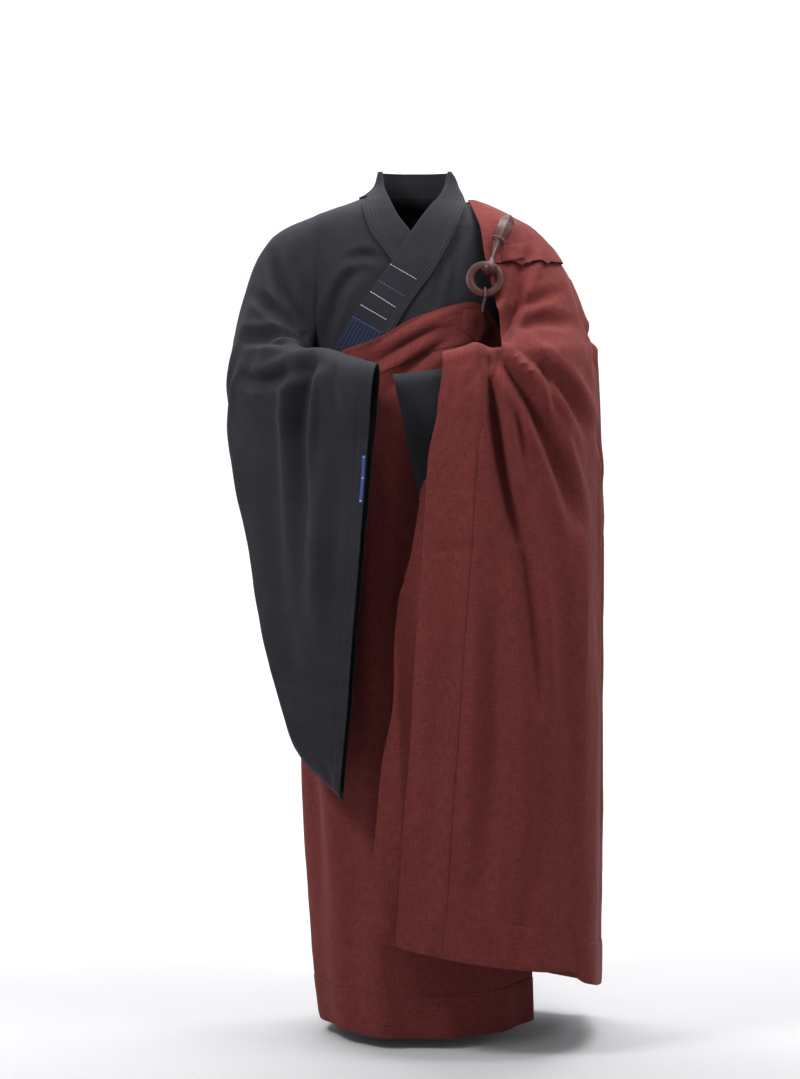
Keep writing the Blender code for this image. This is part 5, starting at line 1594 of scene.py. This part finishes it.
def clasp():
    ring()
    hook()
    cord_loops()
    tab("ring_tab", RING_TAB, ["top_border_front"], "kasaya_ring_tab")
    tab("hook_tab", HOOK_TAB, ["shoulder_flap"], "kasaya_hook_tab")


# The studio

STAGE_RADIUS, STAGE_COVE, STAGE_TOP, STAGE_SIDES = 3.4, 1.0, 3.2, 72
COVE_TURNS = np.radians(np.linspace(0, 90, 13))
LIGHTS = {
    "columns": ("name", "place", "target", "size", "power"),
    "rows": [
        ("key", (-1.45, -1.15, 1.10), (0, 0, 0), (0.6, 0.6), 52),
        ("fill", (1.75, -1.30, 0.80), (0, 0, -0.05), (0.7, 0.7), 11),
        ("top", (0.55, -0.45, 1.15), (0, 0, 0.10), (0.7, 0.7), 26),
        ("backdrop", (0, 1.2, 2.6), (0, 3.4, 0.2), (4.0, 1.0), 330),
        ("front_wall", (0, -1.9, 2.7), (0, -3.4, 0.4), (3.0, 0.6), 26),
    ],
}


def stage():
    """A pale round floor that turns up into a pale wall, which shows only from its inner side."""
    low = -SHOULDER_HEIGHT
    flat = STAGE_RADIUS - STAGE_COVE
    profile = [(flat + STAGE_COVE * math.sin(t), low + STAGE_COVE * (1 - math.cos(t))) for t in COVE_TURNS]
    profile.append((STAGE_RADIUS, STAGE_TOP))
    turns = np.linspace(0, 2 * np.pi, STAGE_SIDES, endpoint=False)
    points = [(r * math.cos(t), r * math.sin(t), z) for r, z in profile for t in turns]
    faces = [tuple(range(STAGE_SIDES))]
    for k in range(len(profile) - 1):
        for i in range(STAGE_SIDES):
            here, ahead = k * STAGE_SIDES + i, k * STAGE_SIDES + (i + 1) % STAGE_SIDES
            faces.append((here, here + STAGE_SIDES, ahead + STAGE_SIDES, ahead))
    mesh = bpy.data.meshes.new("studio_floor")
    mesh.from_pydata(points, [], faces)
    mesh.shade_smooth()
    floor = bpy.data.objects.new("studio_floor", mesh)
    bpy.context.scene.collection.objects.link(floor)
    paper, tree, shader = new_material("studio_paper", Roughness=0.95, Specular_IOR_Level=0.1)
    place = add_node(tree, "ShaderNodeTexCoord").outputs["Object"]
    tone = streaks(tree, place, (3, 3, 3), 1.0)
    coloured(tree, shader, tone, (0.46, 0.46, 0.47), (0.49, 0.49, 0.50))
    clear = add_node(tree, "ShaderNodeBsdfTransparent")
    side = add_node(tree, "ShaderNodeNewGeometry")
    choice = add_node(tree, "ShaderNodeMixShader")
    tree.links.new(side.outputs["Backfacing"], choice.inputs[0])
    tree.links.new(shader.outputs["BSDF"], choice.inputs[1])
    tree.links.new(clear.outputs["BSDF"], choice.inputs[2])
    tree.links.new(choice.outputs["Shader"], tree.nodes["Material Output"].inputs["Surface"])
    floor.data.materials.append(paper)


def area_light(name, place, target, size, power):
    data = bpy.data.lights.new(name, "AREA")
    data.shape = "RECTANGLE"
    data.size, data.size_y = size
    data.energy = power
    lamp = bpy.data.objects.new(name, data)
    lamp.location = place
    lamp.rotation_euler = (Vector(target) - Vector(place)).to_track_quat("-Z", "Y").to_euler()
    bpy.context.scene.collection.objects.link(lamp)


def lights():
    world = bpy.data.worlds.new("studio")
    bpy.context.scene.world = world
    world.use_nodes = True
    background = world.node_tree.nodes["Background"]
    background.inputs["Color"].default_value = (0.92, 0.95, 1.0, 1)
    background.inputs["Strength"].default_value = 0.03
    for lamp in LIGHTS["rows"]:
        area_light(**dict(zip(LIGHTS["columns"], lamp)))
    bpy.context.scene.view_settings.view_transform = "Standard"


def camera():
    data = bpy.data.cameras.new("photo_view")
    data.sensor_fit = "VERTICAL"
    data.sensor_height = CAMERA_SENSOR
    data.lens = CAMERA_LENS
    seen_from = bpy.data.objects.new("photo_view", data)
    seen_from.location = (0, -CAMERA_BACK, CAMERA_HEIGHT - SHOULDER_HEIGHT)
    seen_from.rotation_euler = (math.radians(90 - CAMERA_TILT), 0, math.radians(CAMERA_YAW))
    bpy.context.scene.collection.objects.link(seen_from)
    bpy.context.scene.camera = seen_from


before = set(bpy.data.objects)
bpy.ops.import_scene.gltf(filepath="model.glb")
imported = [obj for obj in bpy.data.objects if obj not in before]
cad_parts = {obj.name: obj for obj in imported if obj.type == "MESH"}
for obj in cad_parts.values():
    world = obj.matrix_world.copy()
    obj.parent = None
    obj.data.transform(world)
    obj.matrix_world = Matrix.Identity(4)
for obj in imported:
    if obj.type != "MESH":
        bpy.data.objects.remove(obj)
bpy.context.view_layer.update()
camera()
lights()
stage()
under_robe()
kasaya()
clasp()
